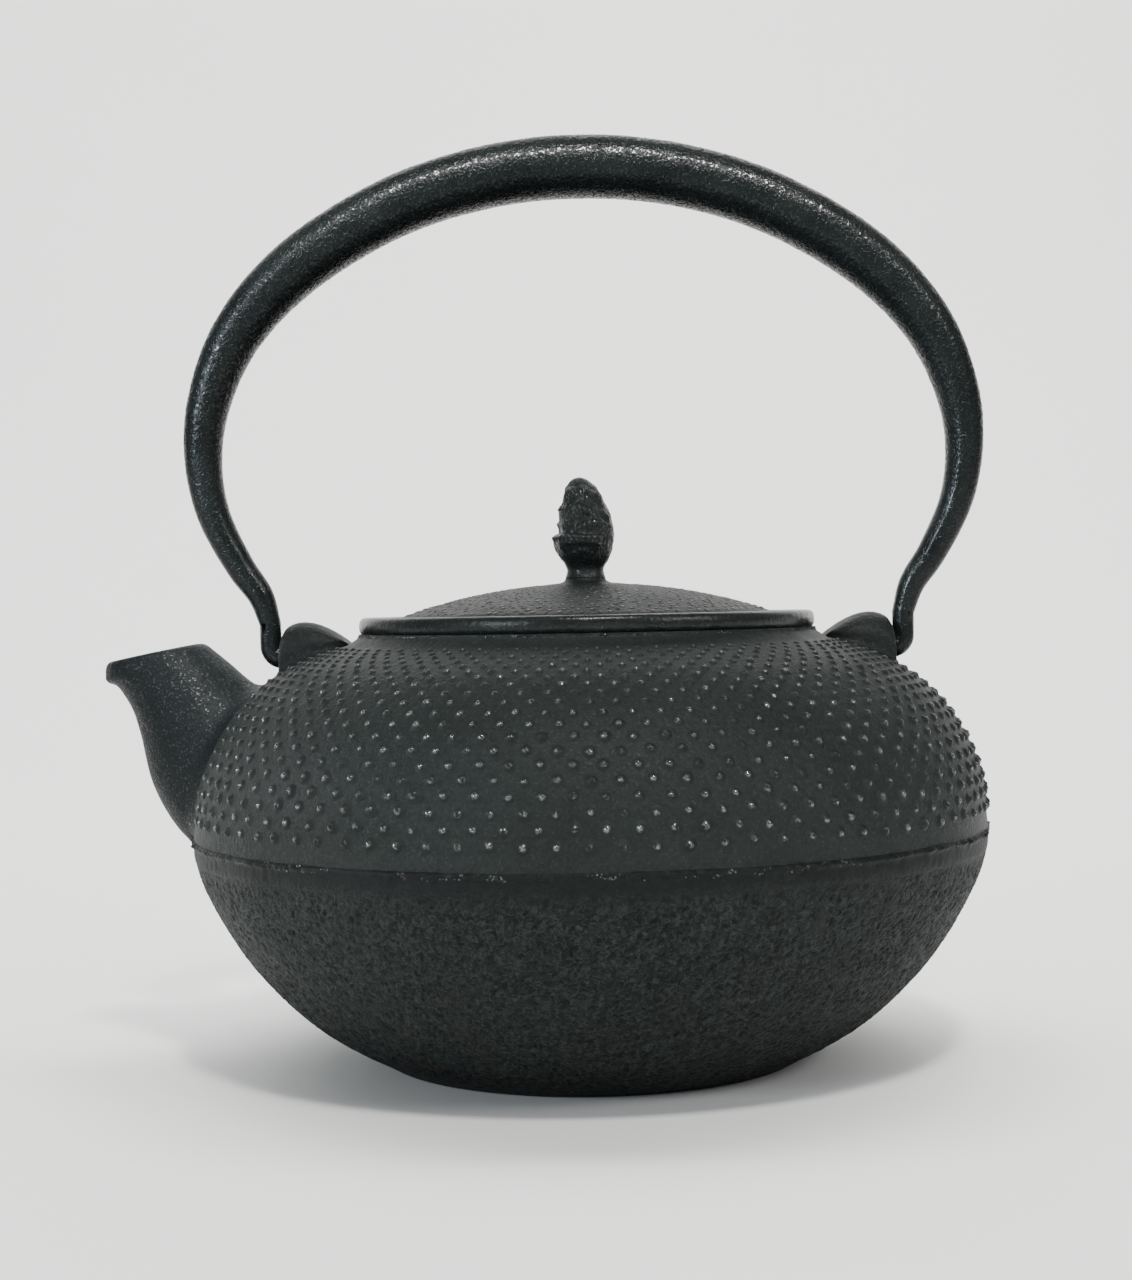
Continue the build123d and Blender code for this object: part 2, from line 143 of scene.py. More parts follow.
def catmull_rom(points, steps, power=0.5):
    """Smooth line through points of any dimension, so many steps a span; power 0 ignores their distances."""
    p = np.array(points, float)
    p = np.vstack([2 * p[0] - p[1], p, 2 * p[-1] - p[-2]])
    line = []
    for i in range(1, len(p) - 2):
        knots = [0.0]
        for j in range(i, i + 3):
            knots.append(knots[-1] + max(np.linalg.norm(p[j] - p[j - 1]), 1e-9) ** power)
        t = np.linspace(knots[1], knots[2], steps, endpoint=False)[:, None]
        a = [between(t, knots[k], knots[k + 1], p[i + k - 1], p[i + k]) for k in range(3)]
        b = [between(t, knots[k], knots[k + 2], a[k], a[k + 1]) for k in range(2)]
        line.append(between(t, knots[1], knots[2], b[0], b[1]))
    return np.vstack(line + [p[-2][None, :]])


def bump_at(value, middle, width):
    """Smooth bump, 1 where the value is at the middle and soon 0 past the width."""
    return np.exp(-(((value - middle) / width) ** 2))


def length_along(line):
    """Length of a line from its start to each of its points."""
    return np.concatenate([[0], np.cumsum(np.linalg.norm(np.diff(line, axis=0), axis=1))])


def pick_evenly(line, measure, count):
    """Points of a line at even steps of a measure that grows along it."""
    want = np.linspace(0, measure[-1], count)
    return np.stack([np.interp(want, measure, line[:, k]) for k in range(line.shape[1])], axis=1)


def resample(line, count):
    """The same line with its points spread evenly along its length."""
    return pick_evenly(line, length_along(line), count)


def curve_through(points, count):
    """Smooth line through points, sampled evenly by length."""
    return resample(catmull_rom(points, 40), count)


def resample_bends(line, count):
    """Line with a set number of points, more of them where it bends."""
    step = np.linalg.norm(np.diff(line, axis=0), axis=1)
    heading = np.diff(line, axis=0) / np.maximum(step, 1e-9)[:, None]
    bend = np.concatenate([[0], np.linalg.norm(np.diff(heading, axis=0), axis=1), [0]])
    weight = step + 1.2 * (bend[:-1] + bend[1:]) / 2
    return pick_evenly(line, np.concatenate([[0], np.cumsum(weight)]), count)


# ---------------------------------------------------------------- mesh helpers
def make_object(name, verts, faces, material, relief=None, sharp=None):
    """A smooth mesh object from points in millimetres, crisp at edges sharper than an angle in degrees.

    The relief is how far each point stands proud of its casting, 0 to 1.
    """
    mesh = bpy.data.meshes.new(name)
    mesh.from_pydata((np.asarray(verts, float) * MM).tolist(), [], [tuple(int(i) for i in f) for f in faces])
    if relief is not None:
        proud = mesh.attributes.new("relief", "FLOAT", "POINT")
        proud.data.foreach_set("value", np.asarray(relief, np.float32))
    mesh.update()
    mesh.polygons.foreach_set("use_smooth", [True] * len(mesh.polygons))
    obj = bpy.data.objects.new(name, mesh)
    bpy.context.scene.collection.objects.link(obj)
    mesh.materials.append(material)
    if sharp:
        mesh.set_sharp_from_angle(angle=radians(sharp))
    return obj


def ring_grid(loops, closed=True, caps=False, offset=0):
    """Points, and faces that join successive loops of the same number of points, with optional end caps."""
    rows, columns = len(loops), len(loops[0])
    faces = []
    span = columns if closed else columns - 1
    for i in range(rows - 1):
        for j in range(span):
            a = offset + i * columns + j
            b = offset + i * columns + (j + 1) % columns
            faces.append((a, b, b + columns, a + columns))
    if caps in (True, "start"):
        faces.append(tuple(offset + j for j in reversed(range(columns))))
    if caps in (True, "end"):
        faces.append(tuple(offset + (rows - 1) * columns + j for j in range(columns)))
    return np.vstack(loops), faces


def lathe_loops(profile, columns):
    """Loops of a turned shape about Z, from (radius, height) points."""
    angle = np.linspace(0, 2 * pi, columns, endpoint=False)
    return [np.stack([r * np.cos(angle), r * np.sin(angle), np.full(columns, z)], axis=1) for r, z in profile]


def shell(name, loops, material, flip=False, caps=False, relief=None, sharp=None):
    """An object whose skin runs over loops; flip turns it inside out."""
    verts, faces = ring_grid(loops, caps=caps)
    return make_object(name, verts, [f[::-1] for f in faces] if flip else faces, material, relief, sharp)


def jitter(a, b, c):
    """Repeatable noise between -1 and 1."""
    return noise.noise(Vector((a * 1.7 + 0.31, b * 2.3 + 0.57, c * 1.1 + 0.13))) * 1.6


def ripple(point, scale, shift=(0, 0, 0)):
    """Smooth noise in space, from -1 to 1: the larger the scale, the finer."""
    return noise.noise(Vector(point) * scale + Vector(shift))


def share_of(value):
    """The value held between 0 and 1."""
    return min(1.0, max(0.0, value))


def outward(angle):
    """Unit direction away from the axis."""
    return np.array([cos(angle), sin(angle), 0.0])


def upward(height):
    return np.array([0, 0, height])


# ---------------------------------------------------------------- materials
class Nodes:
    """Short way of wiring a material. A value is a number, a colour or another node's output."""

    def __init__(self, name):
        self.material = bpy.data.materials.new(name)
        self.material.use_nodes = True
        self.tree = self.material.node_tree
        self.place = self.add("ShaderNodeTexCoord").outputs["Object"]

    def feed(self, socket, value):
        if isinstance(value, bpy.types.NodeSocket):
            self.tree.links.new(value, socket)
        else:
            socket.default_value = (*value, 1.0) if isinstance(value, tuple) else value

    def add(self, kind, **values):
        """A new node with its settings and inputs; an input's spaces are written as underscores."""
        node = self.tree.nodes.new(kind)
        for key, value in values.items():
            name = key.replace("_", " ")
            if name in node.inputs:
                self.feed(node.inputs[name], value)
            else:
                setattr(node, key, value)
        return node

    def noise(self, scale, detail, roughness, distortion=0.0):
        texture = self.add(
            "ShaderNodeTexNoise",
            Vector=self.place, Scale=scale, Detail=detail, Roughness=roughness, Distortion=distortion,
        )
        return texture.outputs["Fac"]

    def relief(self):
        return self.add("ShaderNodeAttribute", attribute_name="relief").outputs["Fac"]

    def height(self):
        """Height above the base, in metres."""
        return self.add("ShaderNodeSeparateXYZ", Vector=self.place).outputs["Z"]

    def remap(self, value, low, high, to_low=0, to_high=1):
        ends = {"From_Min": low, "From_Max": high, "To_Min": to_low, "To_Max": to_high}
        return self.add("ShaderNodeMapRange", Value=value, **ends).outputs["Result"]

    def blend(self, factor, first, second):
        return self.add("ShaderNodeMix", data_type="RGBA", Factor=factor, A=first, B=second).outputs["Result"]

    def calc(self, operation, first, second):
        node = self.add("ShaderNodeMath", operation=operation)
        self.feed(node.inputs[0], first)
        self.feed(node.inputs[1], second)
        return node.outputs["Value"]

    def bump(self, height, strength, distance_mm, **after):
        size = {"Strength": strength, "Distance": distance_mm * MM}
        return self.add("ShaderNodeBump", Height=height, **size, **after).outputs["Normal"]

    def ridges(self, scale):
        """Thin lines that wander and join, 1 on a line and 0 between lines."""
        off_line = self.calc("ABSOLUTE", self.calc("SUBTRACT", self.noise(scale, 1, 0.5, 0.6), 0.5), 0)
        return self.remap(off_line, 0.0, 0.09, 1, 0)

    def surface(self, **values):
        """The finished material."""
        shader = self.tree.nodes["Principled BSDF"]
        for key, value in values.items():
            self.feed(shader.inputs[key.replace("_", " ")], value)
        return self.material


DULL_IOR = 1.28        # a low index keeps iron dark where it is seen along its surface


def cast_iron(name, dark, light, roughness, grain, gloss=0.3, glint=0.13):
    """Matt waxed casting: clouded charcoal with shallow dimples and sand grain that catch small glints."""
    n = Nodes(name)
    clouds = n.noise(55, 5, 0.6)
    sand = n.noise(1150, 2, 0.6)
    tone = n.calc("ADD", n.remap(clouds, 0.35, 0.7, 0, 0.5), n.remap(sand, 0.36, 0.64, 0, 0.5))
    facets = n.remap(n.noise(2300, 1, 0.5), 0.60, 0.70, 0, glint)
    rough = n.remap(clouds, 0.3, 0.75, roughness - 0.06, roughness + 0.07)
    return n.surface(
        Base_Color=n.blend(tone, dark, light),
        Roughness=n.calc("SUBTRACT", rough, n.calc("MULTIPLY", facets, roughness - 0.14)),
        Specular_IOR_Level=n.remap(facets, 0, 1, gloss, gloss * 9),
        Normal=n.bump(sand, 1.0, 0.08 * grain, Normal=n.bump(n.noise(420, 2, 0.5), 1.0, 0.10 * grain)),
        IOR=DULL_IOR,
    )


def rough_iron():
    """Lower half of the pot: worms painted lighter on their crests and darker in the hollows between them, as
    painted highlight and shade, and faintly brown near the base.
    """
    n = Nodes("rough_cast_iron")
    clouds = n.noise(40, 5, 0.6)
    edge = n.calc("ADD", n.height(), n.calc("MULTIPLY", clouds, 0.006))
    fine = n.calc("MULTIPLY", n.ridges(880), n.remap(edge, 0.0435, 0.0495, 1.0, 0.15))
    # painted highlight and shade: the colour follows the relief, lighter on the worms' crests and darker in
    # the hollows between them
    height = n.calc("ADD", n.calc("MULTIPLY", n.relief(), 0.5), n.calc("MULTIPLY", fine, 0.6))
    color = n.blend(n.remap(height, 0.25, 1.0), (0.0058, 0.0075, 0.0072), (0.0265, 0.0325, 0.0310))
    low_down = n.remap(n.height(), 0.003, 0.034, 1, 0)
    patches = n.remap(n.noise(110, 5, 0.7), 0.5, 0.7, 0, 0.6)
    return n.surface(
        Base_Color=n.blend(n.calc("MULTIPLY", low_down, patches), color, (0.022, 0.0165, 0.0135)),
        Roughness=n.remap(clouds, 0.3, 0.75, 0.50, 0.66),
        Specular_IOR_Level=0.3,
        Normal=n.bump(fine, 1.0, 0.12),
        IOR=DULL_IOR,
    )


def nub_iron():
    """Nubs: the body's iron at their feet, rubbed bright at their tips."""
    n = Nodes("nub_iron")
    patches = n.remap(n.noise(760, 2, 0.6), 0.42, 0.56)
    rubbed = n.calc("MULTIPLY", n.remap(n.relief(), 0.45, 0.9), patches)
    return n.surface(
        Base_Color=n.blend(n.remap(n.noise(60, 4, 0.6), 0.35, 0.7), SHOULDER_DARK, SHOULDER_LIGHT),
        Roughness=n.remap(rubbed, 0, 1, 0.56, 0.17),
        Specular_IOR_Level=n.remap(rubbed, 0, 1, 0.3, 4.5),
        Normal=n.bump(n.noise(1300, 2, 0.6), 1.0, 0.08),
        IOR=DULL_IOR,
    )


def lacquer():
    """Glossy black lacquer over a pebbly cast grain that fades out low on the bow."""
    n = Nodes("lacquered_iron")
    facets = n.remap(n.noise(2000, 1, 0.5), 0.46, 0.57)
    slow = n.remap(n.noise(120, 3, 0.5), 0.3, 0.7)
    high_up = n.remap(n.height(), 0.100, 0.150, 0.35, 1.0)
    dull = n.calc("MULTIPLY", n.calc("SUBTRACT", 1.0, facets), high_up)
    return n.surface(
        Base_Color=n.blend(slow, (0.0018, 0.0024, 0.0023), (0.0034, 0.0043, 0.0041)),
        Roughness=n.remap(dull, 0, 1, 0.13, 0.36),
        Specular_IOR_Level=n.remap(dull, 0, 1, 0.46, 0.10),
        Normal=n.bump(facets, 1.0, 0.03),
        IOR=DULL_IOR,
    )


def enamel():
    """Fired black enamel with slight orange peel, inside the pot."""
    n = Nodes("fired_enamel")
    return n.surface(
        Base_Color=n.blend(n.noise(30, 3, 0.5), (0.010, 0.010, 0.012), (0.022, 0.022, 0.025)),
        Roughness=n.remap(n.noise(80, 3, 0.5), 0.3, 0.7, 0.10, 0.18),
        Specular_IOR_Level=0.6,
        Normal=n.bump(n.noise(260, 2, 0.5), 0.20, 0.12),
    )


def steel(name, grain):
    """Stainless steel with fine marks: grain is how often they repeat per metre along each axis."""
    n = Nodes(name)
    smudge = n.noise(70, 4, 0.6)
    stretch = n.add("ShaderNodeMapping", Vector=n.place)
    stretch.inputs["Scale"].default_value = grain
    n.place = stretch.outputs["Vector"]
    lines = n.noise(1.0, 3.0, 0.5)
    return n.surface(
        Base_Color=n.blend(n.remap(smudge, 0.3, 0.7), (0.52, 0.52, 0.51), (0.64, 0.64, 0.62)),
        Roughness=n.calc("ADD", n.remap(smudge, 0.3, 0.7, 0.18, 0.30), n.remap(lines, 0.3, 0.7, 0, 0.08)),
        Metallic=1.0,
        Normal=n.bump(lines, 0.15, 0.03),
    )


SHOULDER_DARK, SHOULDER_LIGHT = (0.0115, 0.0145, 0.0138), (0.0190, 0.0232, 0.0222)
BODY_IRON = cast_iron("shoulder_iron", SHOULDER_DARK, SHOULDER_LIGHT, 0.58, 2.4)
# painted shade: the spout gets the body's cast iron with darker colours, so it reads darker than its light
# alone makes it
SPOUT_IRON_PAINTED_SHADE = cast_iron(
    "spout_iron_painted_shade", (0.0050, 0.0070, 0.0076), (0.0096, 0.0124, 0.0130), 0.56, 2.6, gloss=0.26, glint=0.38
)
EAR_IRON = cast_iron("ear_iron", (0.0080, 0.0104, 0.0100), (0.0140, 0.0172, 0.0164), 0.54, 2.2, 0.35)
LID_IRON = cast_iron("lid_iron", (0.0070, 0.0090, 0.0086), (0.0130, 0.0160, 0.0154), 0.52, 2.0, 0.35)
RIM_IRON = cast_iron("lid_rim_iron", (0.0080, 0.0102, 0.0098), (0.0140, 0.0172, 0.0164), 0.32, 1.2, 0.6)
KNOB_IRON = cast_iron("knob_iron", (0.0090, 0.0116, 0.0110), (0.0170, 0.0208, 0.0196), 0.40, 1.2, 0.5, 0.5)
ROUGH_IRON = rough_iron()
NUB_IRON = nub_iron()
LACQUER = lacquer()
ENAMEL = enamel()
STEEL = steel("pressed_steel", (40, 40, 4000))
WIRE = steel("steel_wire", (900, 900, 900))


# ---------------------------------------------------------------- pot casting
LOWER = curve_through(LOWER_OUTLINE, 400)
UPPER = curve_through(UPPER_OUTLINE, 400)


def nearest_on_outline(point):
    """A point's distance from the axis, the outline's nearest point, and the outline's direction there."""
    x, y, z = point
    radius = max(hypot(x, y), 1e-6)
    line = UPPER if z > SEAM_LOW_Z else LOWER
    k = int(np.hypot(line[:, 0] - radius, line[:, 1] - z).argmin())
    run = line[min(k + 1, len(line) - 1)] - line[max(k - 1, 0)]
    return radius, line[k], run / np.linalg.norm(run)


def outside_distance(point):
    """Rough distance of a point outside the pot's turned surface, negative inside it."""
    radius, near, (run, rise) = nearest_on_outline(point)
    return (radius - near[0]) * rise - (point[2] - near[1]) * run


def surface_point(point):
    """Nearest point of the pot's turned outside, and its outward normal."""
    radius, near, (run, rise) = nearest_on_outline(point)
    around = np.array([point[0] / radius, point[1] / radius, 0.0])
    return around * near[0] + upward(near[1]), around * rise - upward(run)


def wormy(x, y, z):
    """Height of the rough casting skin, from -1 to 1: short ridges that wander and join."""
    p = Vector((x, y, z))
    warp = noise.noise_vector(p * 0.5) * 0.8
    ridge = 1 - 2.8 * abs(ripple(p + warp, 0.88))
    return 0.85 * ridge + 0.30 * ripple(p, 1.25, (9, 2, 5))


def skin_share(x, y, z):
    """How much of the rough skin is left at a point: it dies out just under the seam."""
    return min(1.0, max(0.12, (46.4 + 1.2 * ripple((x, y, z), 0.09) - z) / 3.6))


def stitch(fine_start, fine, coarse_start, coarse):
    """Faces between a fine loop and a coarse one, each coarse point facing the same number of fine ones."""
    step = fine // coarse
    half = step // 2
    faces = []
    for j in range(coarse):
        a, b = coarse_start + j, coarse_start + (j + 1) % coarse
        fan = [fine_start + (j * step + k) % fine for k in range(step + 1)]
        faces.extend((fan[k], fan[k + 1], a) for k in range(half))
        faces.append((fan[half], b, a))
        faces.extend((fan[k], fan[k + 1], b) for k in range(half, step))
    return faces


def pot_casting():
    """The turned part of the casting: rough lower half, shoulder, neck, mouth and inner wall."""
    fine, coarse = 1200, 400
    floor = [(r, 0.0) for r in np.linspace(2, 43.4, 14)]
    rough_rows = floor + [(44.1, 0.06)] + [tuple(p) for p in resample(LOWER, 132)][1:]
    loops = lathe_loops(rough_rows, fine)
    relief = np.full((len(loops), fine), 0.5)
    for loop, heights, (r, z) in zip(loops, relief, rough_rows):
        worms = np.array([wormy(*point) * skin_share(*point) for point in loop])
        # the relief is the worms' height; the rough iron paints it as highlight on crests and shade in
        # hollows
        heights[:] = 0.5 + 0.5 * worms
        lift = WORM_HEIGHT * min(1, max(0, z - 0.5) / 4) * worms
        _, normal = surface_point((r, 0, z))
        loop[:, :2] *= 1 + (normal[0] * lift / r)[:, None]
        loop[:, 2] += normal[2] * lift
    band = [(84.3, 44.8), (84.5, 46.0), (84.5, 47.6), (84.55, 48.9)]
    shoulder = [tuple(p) for p in resample(UPPER, 64)][:-5]
    neck = [
        (51.6, 89.0), (50.4, 89.75), (49.5, 90.35), (49.1, 90.7), (49.04, 91.0), (49.02, 91.24),
        (48.9, NECK_TOP_Z), (46.0, NECK_TOP_Z), (43.8, NECK_TOP_Z),
        (REBATE_R + 0.05, 91.2), (REBATE_R, 90.95), (REBATE_R, 90.4), (REBATE_R - 0.1, REBATE_Z),
        (42.0, REBATE_Z), (MOUTH_R + 0.3, REBATE_Z), (MOUTH_R, 90.0), (MOUTH_R, 88.5),
    ]
    inside = [(MOUTH_R, 86.6)]
    for r, z in resample(np.vstack([LOWER, UPPER]), 60)[::-1][6:]:
        spot, normal = surface_point((r, 0, z))
        inside.append((spot[0] - WALL * normal[0], spot[2] - WALL * normal[2]))
    inside = [p for p in inside if p[1] > WALL + 0.2] + [(r, WALL) for r in (40, 30, 20, 10, 2)]
    smooth_loops = lathe_loops(band + shoulder + neck + inside, coarse)
    for loop in smooth_loops:
        for point in loop:
            if 90.5 < point[2] < NECK_TOP_Z and point[0] ** 2 + point[1] ** 2 > 48.9**2:
                fleck = ripple(point, 0.9) + 0.5 * ripple(point, 0.21)
                point[:2] *= 1 + FLECK_HEIGHT * max(0.0, fleck) / NECK_R
    fine_verts, fine_faces = ring_grid(loops, caps="start")
    start = len(fine_verts)
    coarse_verts, coarse_faces = ring_grid(smooth_loops, caps="end", offset=start)
    coarse_faces += stitch(start - fine, fine, start, coarse)
    relief = np.concatenate([relief.ravel(), np.zeros(len(coarse_verts))])
    verts = np.vstack([fine_verts, coarse_verts])
    casting = make_object("pot_casting", verts, fine_faces + coarse_faces, ROUGH_IRON, relief, sharp=55)
    casting.data.materials.append(BODY_IRON)
    for face in casting.data.polygons:
        face.material_index = int(face.center.z > SMOOTH_FROM_Z * MM)
    return casting


def seam_band():
    """Band where the mould halves met: the rough skin dies out on it, and its upper edge is a torn ridge."""
    # radius, height and how much of the tearing reaches the point
    profile = [
        (83.6, 43.9, 0.0), (84.15, 44.2, 0.0), (84.35, 44.8, 0.3), (84.5, 45.4, 0.4), (84.55, 46.0, 0.4),
        (84.6, 46.6, 0.4), (84.6, 47.2, 0.5), (84.6, 47.6, 0.8), (84.7, 47.95, 1.6), (84.85, 48.25, 2.6),
        (84.85, 48.5, 2.6), (84.7, 48.75, 1.5), (84.6, 49.1, 0.4), (83.6, 49.4, 0.0),
    ]
    columns = 1200
    loops = lathe_loops([(r, z) for r, z, _ in profile], columns)
    relief = np.zeros((len(loops) + 1, columns))
    for loop, heights, (_, _, share) in zip(loops, relief, profile):
        for i, (x, y, z) in enumerate(loop):
            gaps = share_of(0.6 + 2.2 * ripple((x, y, 0), 0.10, (3, 1, 4)))
            tear = ripple((x, y, 0), 0.5, (0, 0, z * 0.5)) + 0.8 * ripple((x, y, 0), 1.4, (0, 0, z))
            wander = 0.4 * ripple((x, y, 0), 0.055, (0, 0, 7))
            worm = wormy(x, y, z) * skin_share(x, y, z)
            out = (0.14 + 0.26 * tear) * share * gaps + WORM_HEIGHT * worm * min(1.0, 3 * share)
            loop[i] += np.array([x, y, 0.0]) / hypot(x, y) * out
            loop[i][2] += min(share, 1.0) * (wander + 0.12 * tear)
            # the relief is the worms' height; the rough iron paints it as highlight on crests and shade in
            # hollows
            heights[i] = 0.5 + 0.5 * worm
    relief[-1] = relief[0]
    return shell("pot_seam_band", loops + loops[:1], ROUGH_IRON, relief=relief.ravel())


SPOUT_CURVE = catmull_rom([[*front, *back, half] for front, back, half in SPOUT_STATIONS], 24, power=0)


def spout_ring(station, inset, count=72):
    """One oval of the spout at a station, which may lie between two, and its centre."""
    last = len(SPOUT_STATIONS) - 1
    at = np.clip(station, 0, last) / last * (len(SPOUT_CURVE) - 1)
    low = int(min(at, len(SPOUT_CURVE) - 2))
    section = SPOUT_CURVE[low] + (SPOUT_CURVE[low + 1] - SPOUT_CURVE[low]) * (at - low)
    front_x, front_z, back_x, back_z, half_width = section
    middle = np.array([(front_x + back_x) / 2, 0, (front_z + back_z) / 2])
    chord = np.array([front_x - back_x, 0, front_z - back_z]) / 2
    half_height = np.linalg.norm(chord)
    along = chord / half_height
    ring = []
    for angle in np.linspace(0, 2 * pi, count, endpoint=False):
        c, s = cos(angle), sin(angle)
        ring.append(middle + along * c * (half_height - inset) + np.array([0, s * (half_width - inset), 0]))
    return np.array(ring), middle


def away_from_middle(points, middles):
    """Unit directions from the spout's middle line to points on it."""
    nearest = [middles[int(np.linalg.norm(middles - p, axis=1).argmin())] for p in points]
    away = points - np.array(nearest)
    return away / np.linalg.norm(away, axis=1)[:, None]


def pot_spout():
    """Stub spout: foot blended into the belly, sloped mouth with a thick rolled lip, and its channel."""
    count = 96
    lip = np.array([MOUTH_LIP[0], 0, MOUTH_LIP[1]])
    mouth_run = np.array([MOUTH_HEEL[0], 0, MOUTH_HEEL[1]]) - lip
    mouth_run /= np.linalg.norm(mouth_run)
    mouth_normal = np.array([-mouth_run[2], 0, mouth_run[0]])
    stations = np.linspace(0.2, len(SPOUT_STATIONS) - 1, 160)
    outer = np.array([spout_ring(u, 0, count)[0] for u in stations])
    inner = np.array([spout_ring(u, SPOUT_WALL, count)[0] for u in stations])
    middles = np.array([spout_ring(u, 0)[1] for u in stations])

    def up_to_mouth(line):
        """The part of a line below the mouth's plane, ending on it."""
        above = (line - lip) @ mouth_normal
        end = int(np.argmax(above > 0))
        share = -above[end - 1] / (above[end] - above[end - 1])
        return np.vstack([line[:end], line[end - 1] + (line[end] - line[end - 1]) * share])

    lines = []
    for j in range(count):
        front = max(0.0, cos(2 * pi * j / count))
        back = max(0.0, -cos(2 * pi * j / count))

        # foot: a fillet from the belly onto the spout's wall
        fillet = 3.6 - 1.2 * back
        outside = np.array([outside_distance(p) for p in outer[:, j]])
        start = int(np.argmax(outside > fillet * 0.8))
        touch = int(np.argmax(outside > 0))
        corner = outer[touch, j]
        _, normal = surface_point(corner)
        away = corner - middles[touch]
        away -= normal * (away @ normal)
        away /= max(np.linalg.norm(away), 1e-6)
        foot, foot_normal = surface_point(corner + away * fillet)
        foot = foot - foot_normal * 0.15
        line = [rounded(t, foot, corner, outer[start, j]) for t in np.linspace(0, 1, 12, endpoint=False)]

        # wall, thickened to a bead under the front of the lip
        wall = resample(up_to_mouth(outer[:, j])[start:], 44)
        from_edge = np.linalg.norm(wall - wall[-1], axis=1)
        bead = 1.9 * bump_at(from_edge, 3.2, 1.7) + 0.6 * bump_at(from_edge, 7.0, 4.0)
        wall = wall + (front**1.5 * bead)[:, None] * away_from_middle(wall, middles)
        rim_out = wall[-1]
        wall = wall[from_edge > 1.1 + 0.5 * front + 0.2 * back]
        line.extend(wall)

        # rounded lip, then the channel back down into the belly
        channel = up_to_mouth(inner[:, j])
        rim_in = channel[-1]
        crest = rim_out + (rim_in - rim_out) * 0.55
        below = rim_in - mouth_normal * 0.9
        edge = rim_out + (rim_in - rim_out) * 0.05
        line.extend(rounded(t, wall[-1], edge, crest) for t in np.linspace(0.15, 1, 7))
        line.extend(rounded(t, crest, rim_in, below) for t in np.linspace(0.2, 1, 5))
        first = int(np.argmax(np.array([outside_distance(p) for p in inner[:, j]]) > -WALL - 1.2))
        depth = (channel - below) @ mouth_normal
        line.extend(resample(channel[first:][depth[first:] < -0.2], 26)[::-1])
        lines.append(resample_bends(np.array(line), 96))
    return shell("spout_casting", np.array(lines).transpose(1, 0, 2), SPOUT_IRON_PAINTED_SHADE, flip=True)


EAR_CURVE = curve_through(EAR_CREST, 120)


def outer_height(radius):
    """Height of the shoulder at a radius."""
    line = UPPER[::-1]
    return float(np.interp(radius, line[:, 0], line[:, 1]))


def ear_outline(x, count):
    """Closed cross-section of an ear at a distance from the axis: arch, flared feet, buried underside."""
    crest = float(np.interp(x, EAR_CURVE[:, 0], EAR_CURVE[:, 1]))
    rise = min(1.5, crest - outer_height(x))
    share = min(1.0, (x - EAR_INNER_X) / 9.0)
    half = EAR_HALF_W * (0.30 + 0.70 * sqrt(1 - (1 - share) ** 2))
    flare = 2.2 * share

    def on_shoulder(y, up):
        return [x, y, outer_height(hypot(x, y)) + up]

    foot = ((1.0, -0.12), (0.6, 0.06), (0.25, 0.30), (0.06, 0.75))
    loop = [on_shoulder(half + flare * out, up * rise) for out, up in foot]
    base = on_shoulder(half, 0.9 * rise)[2]
    for k in range(1, count - 1):
        t = pi * k / (count - 1)
        c, s = cos(t), sin(t)
        y = half * abs(c) ** 0.9 * (1 if c > 0 else -1)
        loop.append([x, y, base + max(crest - base, 0.02) * s**0.85])
    loop.extend(on_shoulder(-half - flare * out, up * rise) for out, up in reversed(foot))
    loop.extend(on_shoulder((half + flare) * (-1 + 2 * k / 9), -1.0) for k in range(1, 9))
    return np.array(loop)


def ear(name, side):
    """One ear: a low dome, cut flat on its outer face, with the bore that the bow's hook turns in."""
    count = 37
    loops = [ear_outline(x, count) for x in EAR_SECTIONS_X]
    face = ear_outline(EAR_FACE_X, count)
    middle = np.array([EAR_FACE_X, 0, PIVOT_Z])
    for shrink, inset in ((0.985, 0.06), (0.95, 0), (0.8, 0), (0.65, 0)):
        loop = middle + (face - middle) * shrink
        loop[:, 0] = EAR_FACE_X - inset
        loops.append(loop)
    direction = face - middle
    angle = np.arctan2(direction[:, 2], direction[:, 1])
    for wider, inset in ((0.45, 0), (0.12, 0.12), (0, 0.45), (0, BORE_DEPTH * 0.5), (0, BORE_DEPTH)):
        radius, x = BORE_R + wider, np.full(len(angle), EAR_FACE_X - inset)
        loops.append(np.stack([x, radius * np.cos(angle), PIVOT_Z + radius * np.sin(angle)], axis=1))
    loops = [loop * np.array([side, 1, 1]) for loop in loops]
    return shell(name, loops, EAR_IRON, flip=side > 0, caps=True, sharp=50)


def nub_mesh(name, spots, height_share=1.0, segments=8):
    """Many nubs, each a low dome with a soft foot and a small tip: spots are (point, normal, size in mm)."""
    rings = ((1.62, -0.06), (1.22, 0.08), (0.92, 0.32), (0.60, 0.60), (0.28, 0.80))
    rings = [(radius, height * height_share) for radius, height in rings]
    tip = 0.88 * height_share
    verts, faces = [], []
    circle = [(cos(2 * pi * k / segments), sin(2 * pi * k / segments)) for k in range(segments)]
    for point, normal, size in spots:
        start = len(verts)
        side = np.cross(normal, (0, 0, 1.0))
        side = side / np.linalg.norm(side)
        other = np.cross(normal, side)
        for radius, height in rings:
            for c, s in circle:
                crumb = 1 + 0.16 * jitter(start + c, radius * 5, s * 3)
                spread = (side * c + other * s) * radius * crumb
                verts.append(point + (spread + normal * height * crumb) * size)
        verts.append(point + normal * tip * size)
        for ring in range(len(rings) - 1):
            for k in range(segments):
                a = start + ring * segments + k
                b = start + ring * segments + (k + 1) % segments
                faces.append((a, a + segments, b + segments, b))
        top = start + (len(rings) - 1) * segments
        for k in range(segments):
            faces.append((top + k, start + len(rings) * segments, top + (k + 1) % segments))
    proud = np.append(np.repeat([max(0.0, height) for _, height in rings], segments) / tip, 1.0)
    return make_object(name, np.array(verts), faces, NUB_IRON, np.tile(proud, len(spots)))


SPOUT_FEET = [spout_ring(station, 0) for station in (0.6, 1.0, 1.4, 1.8, 2.2)]


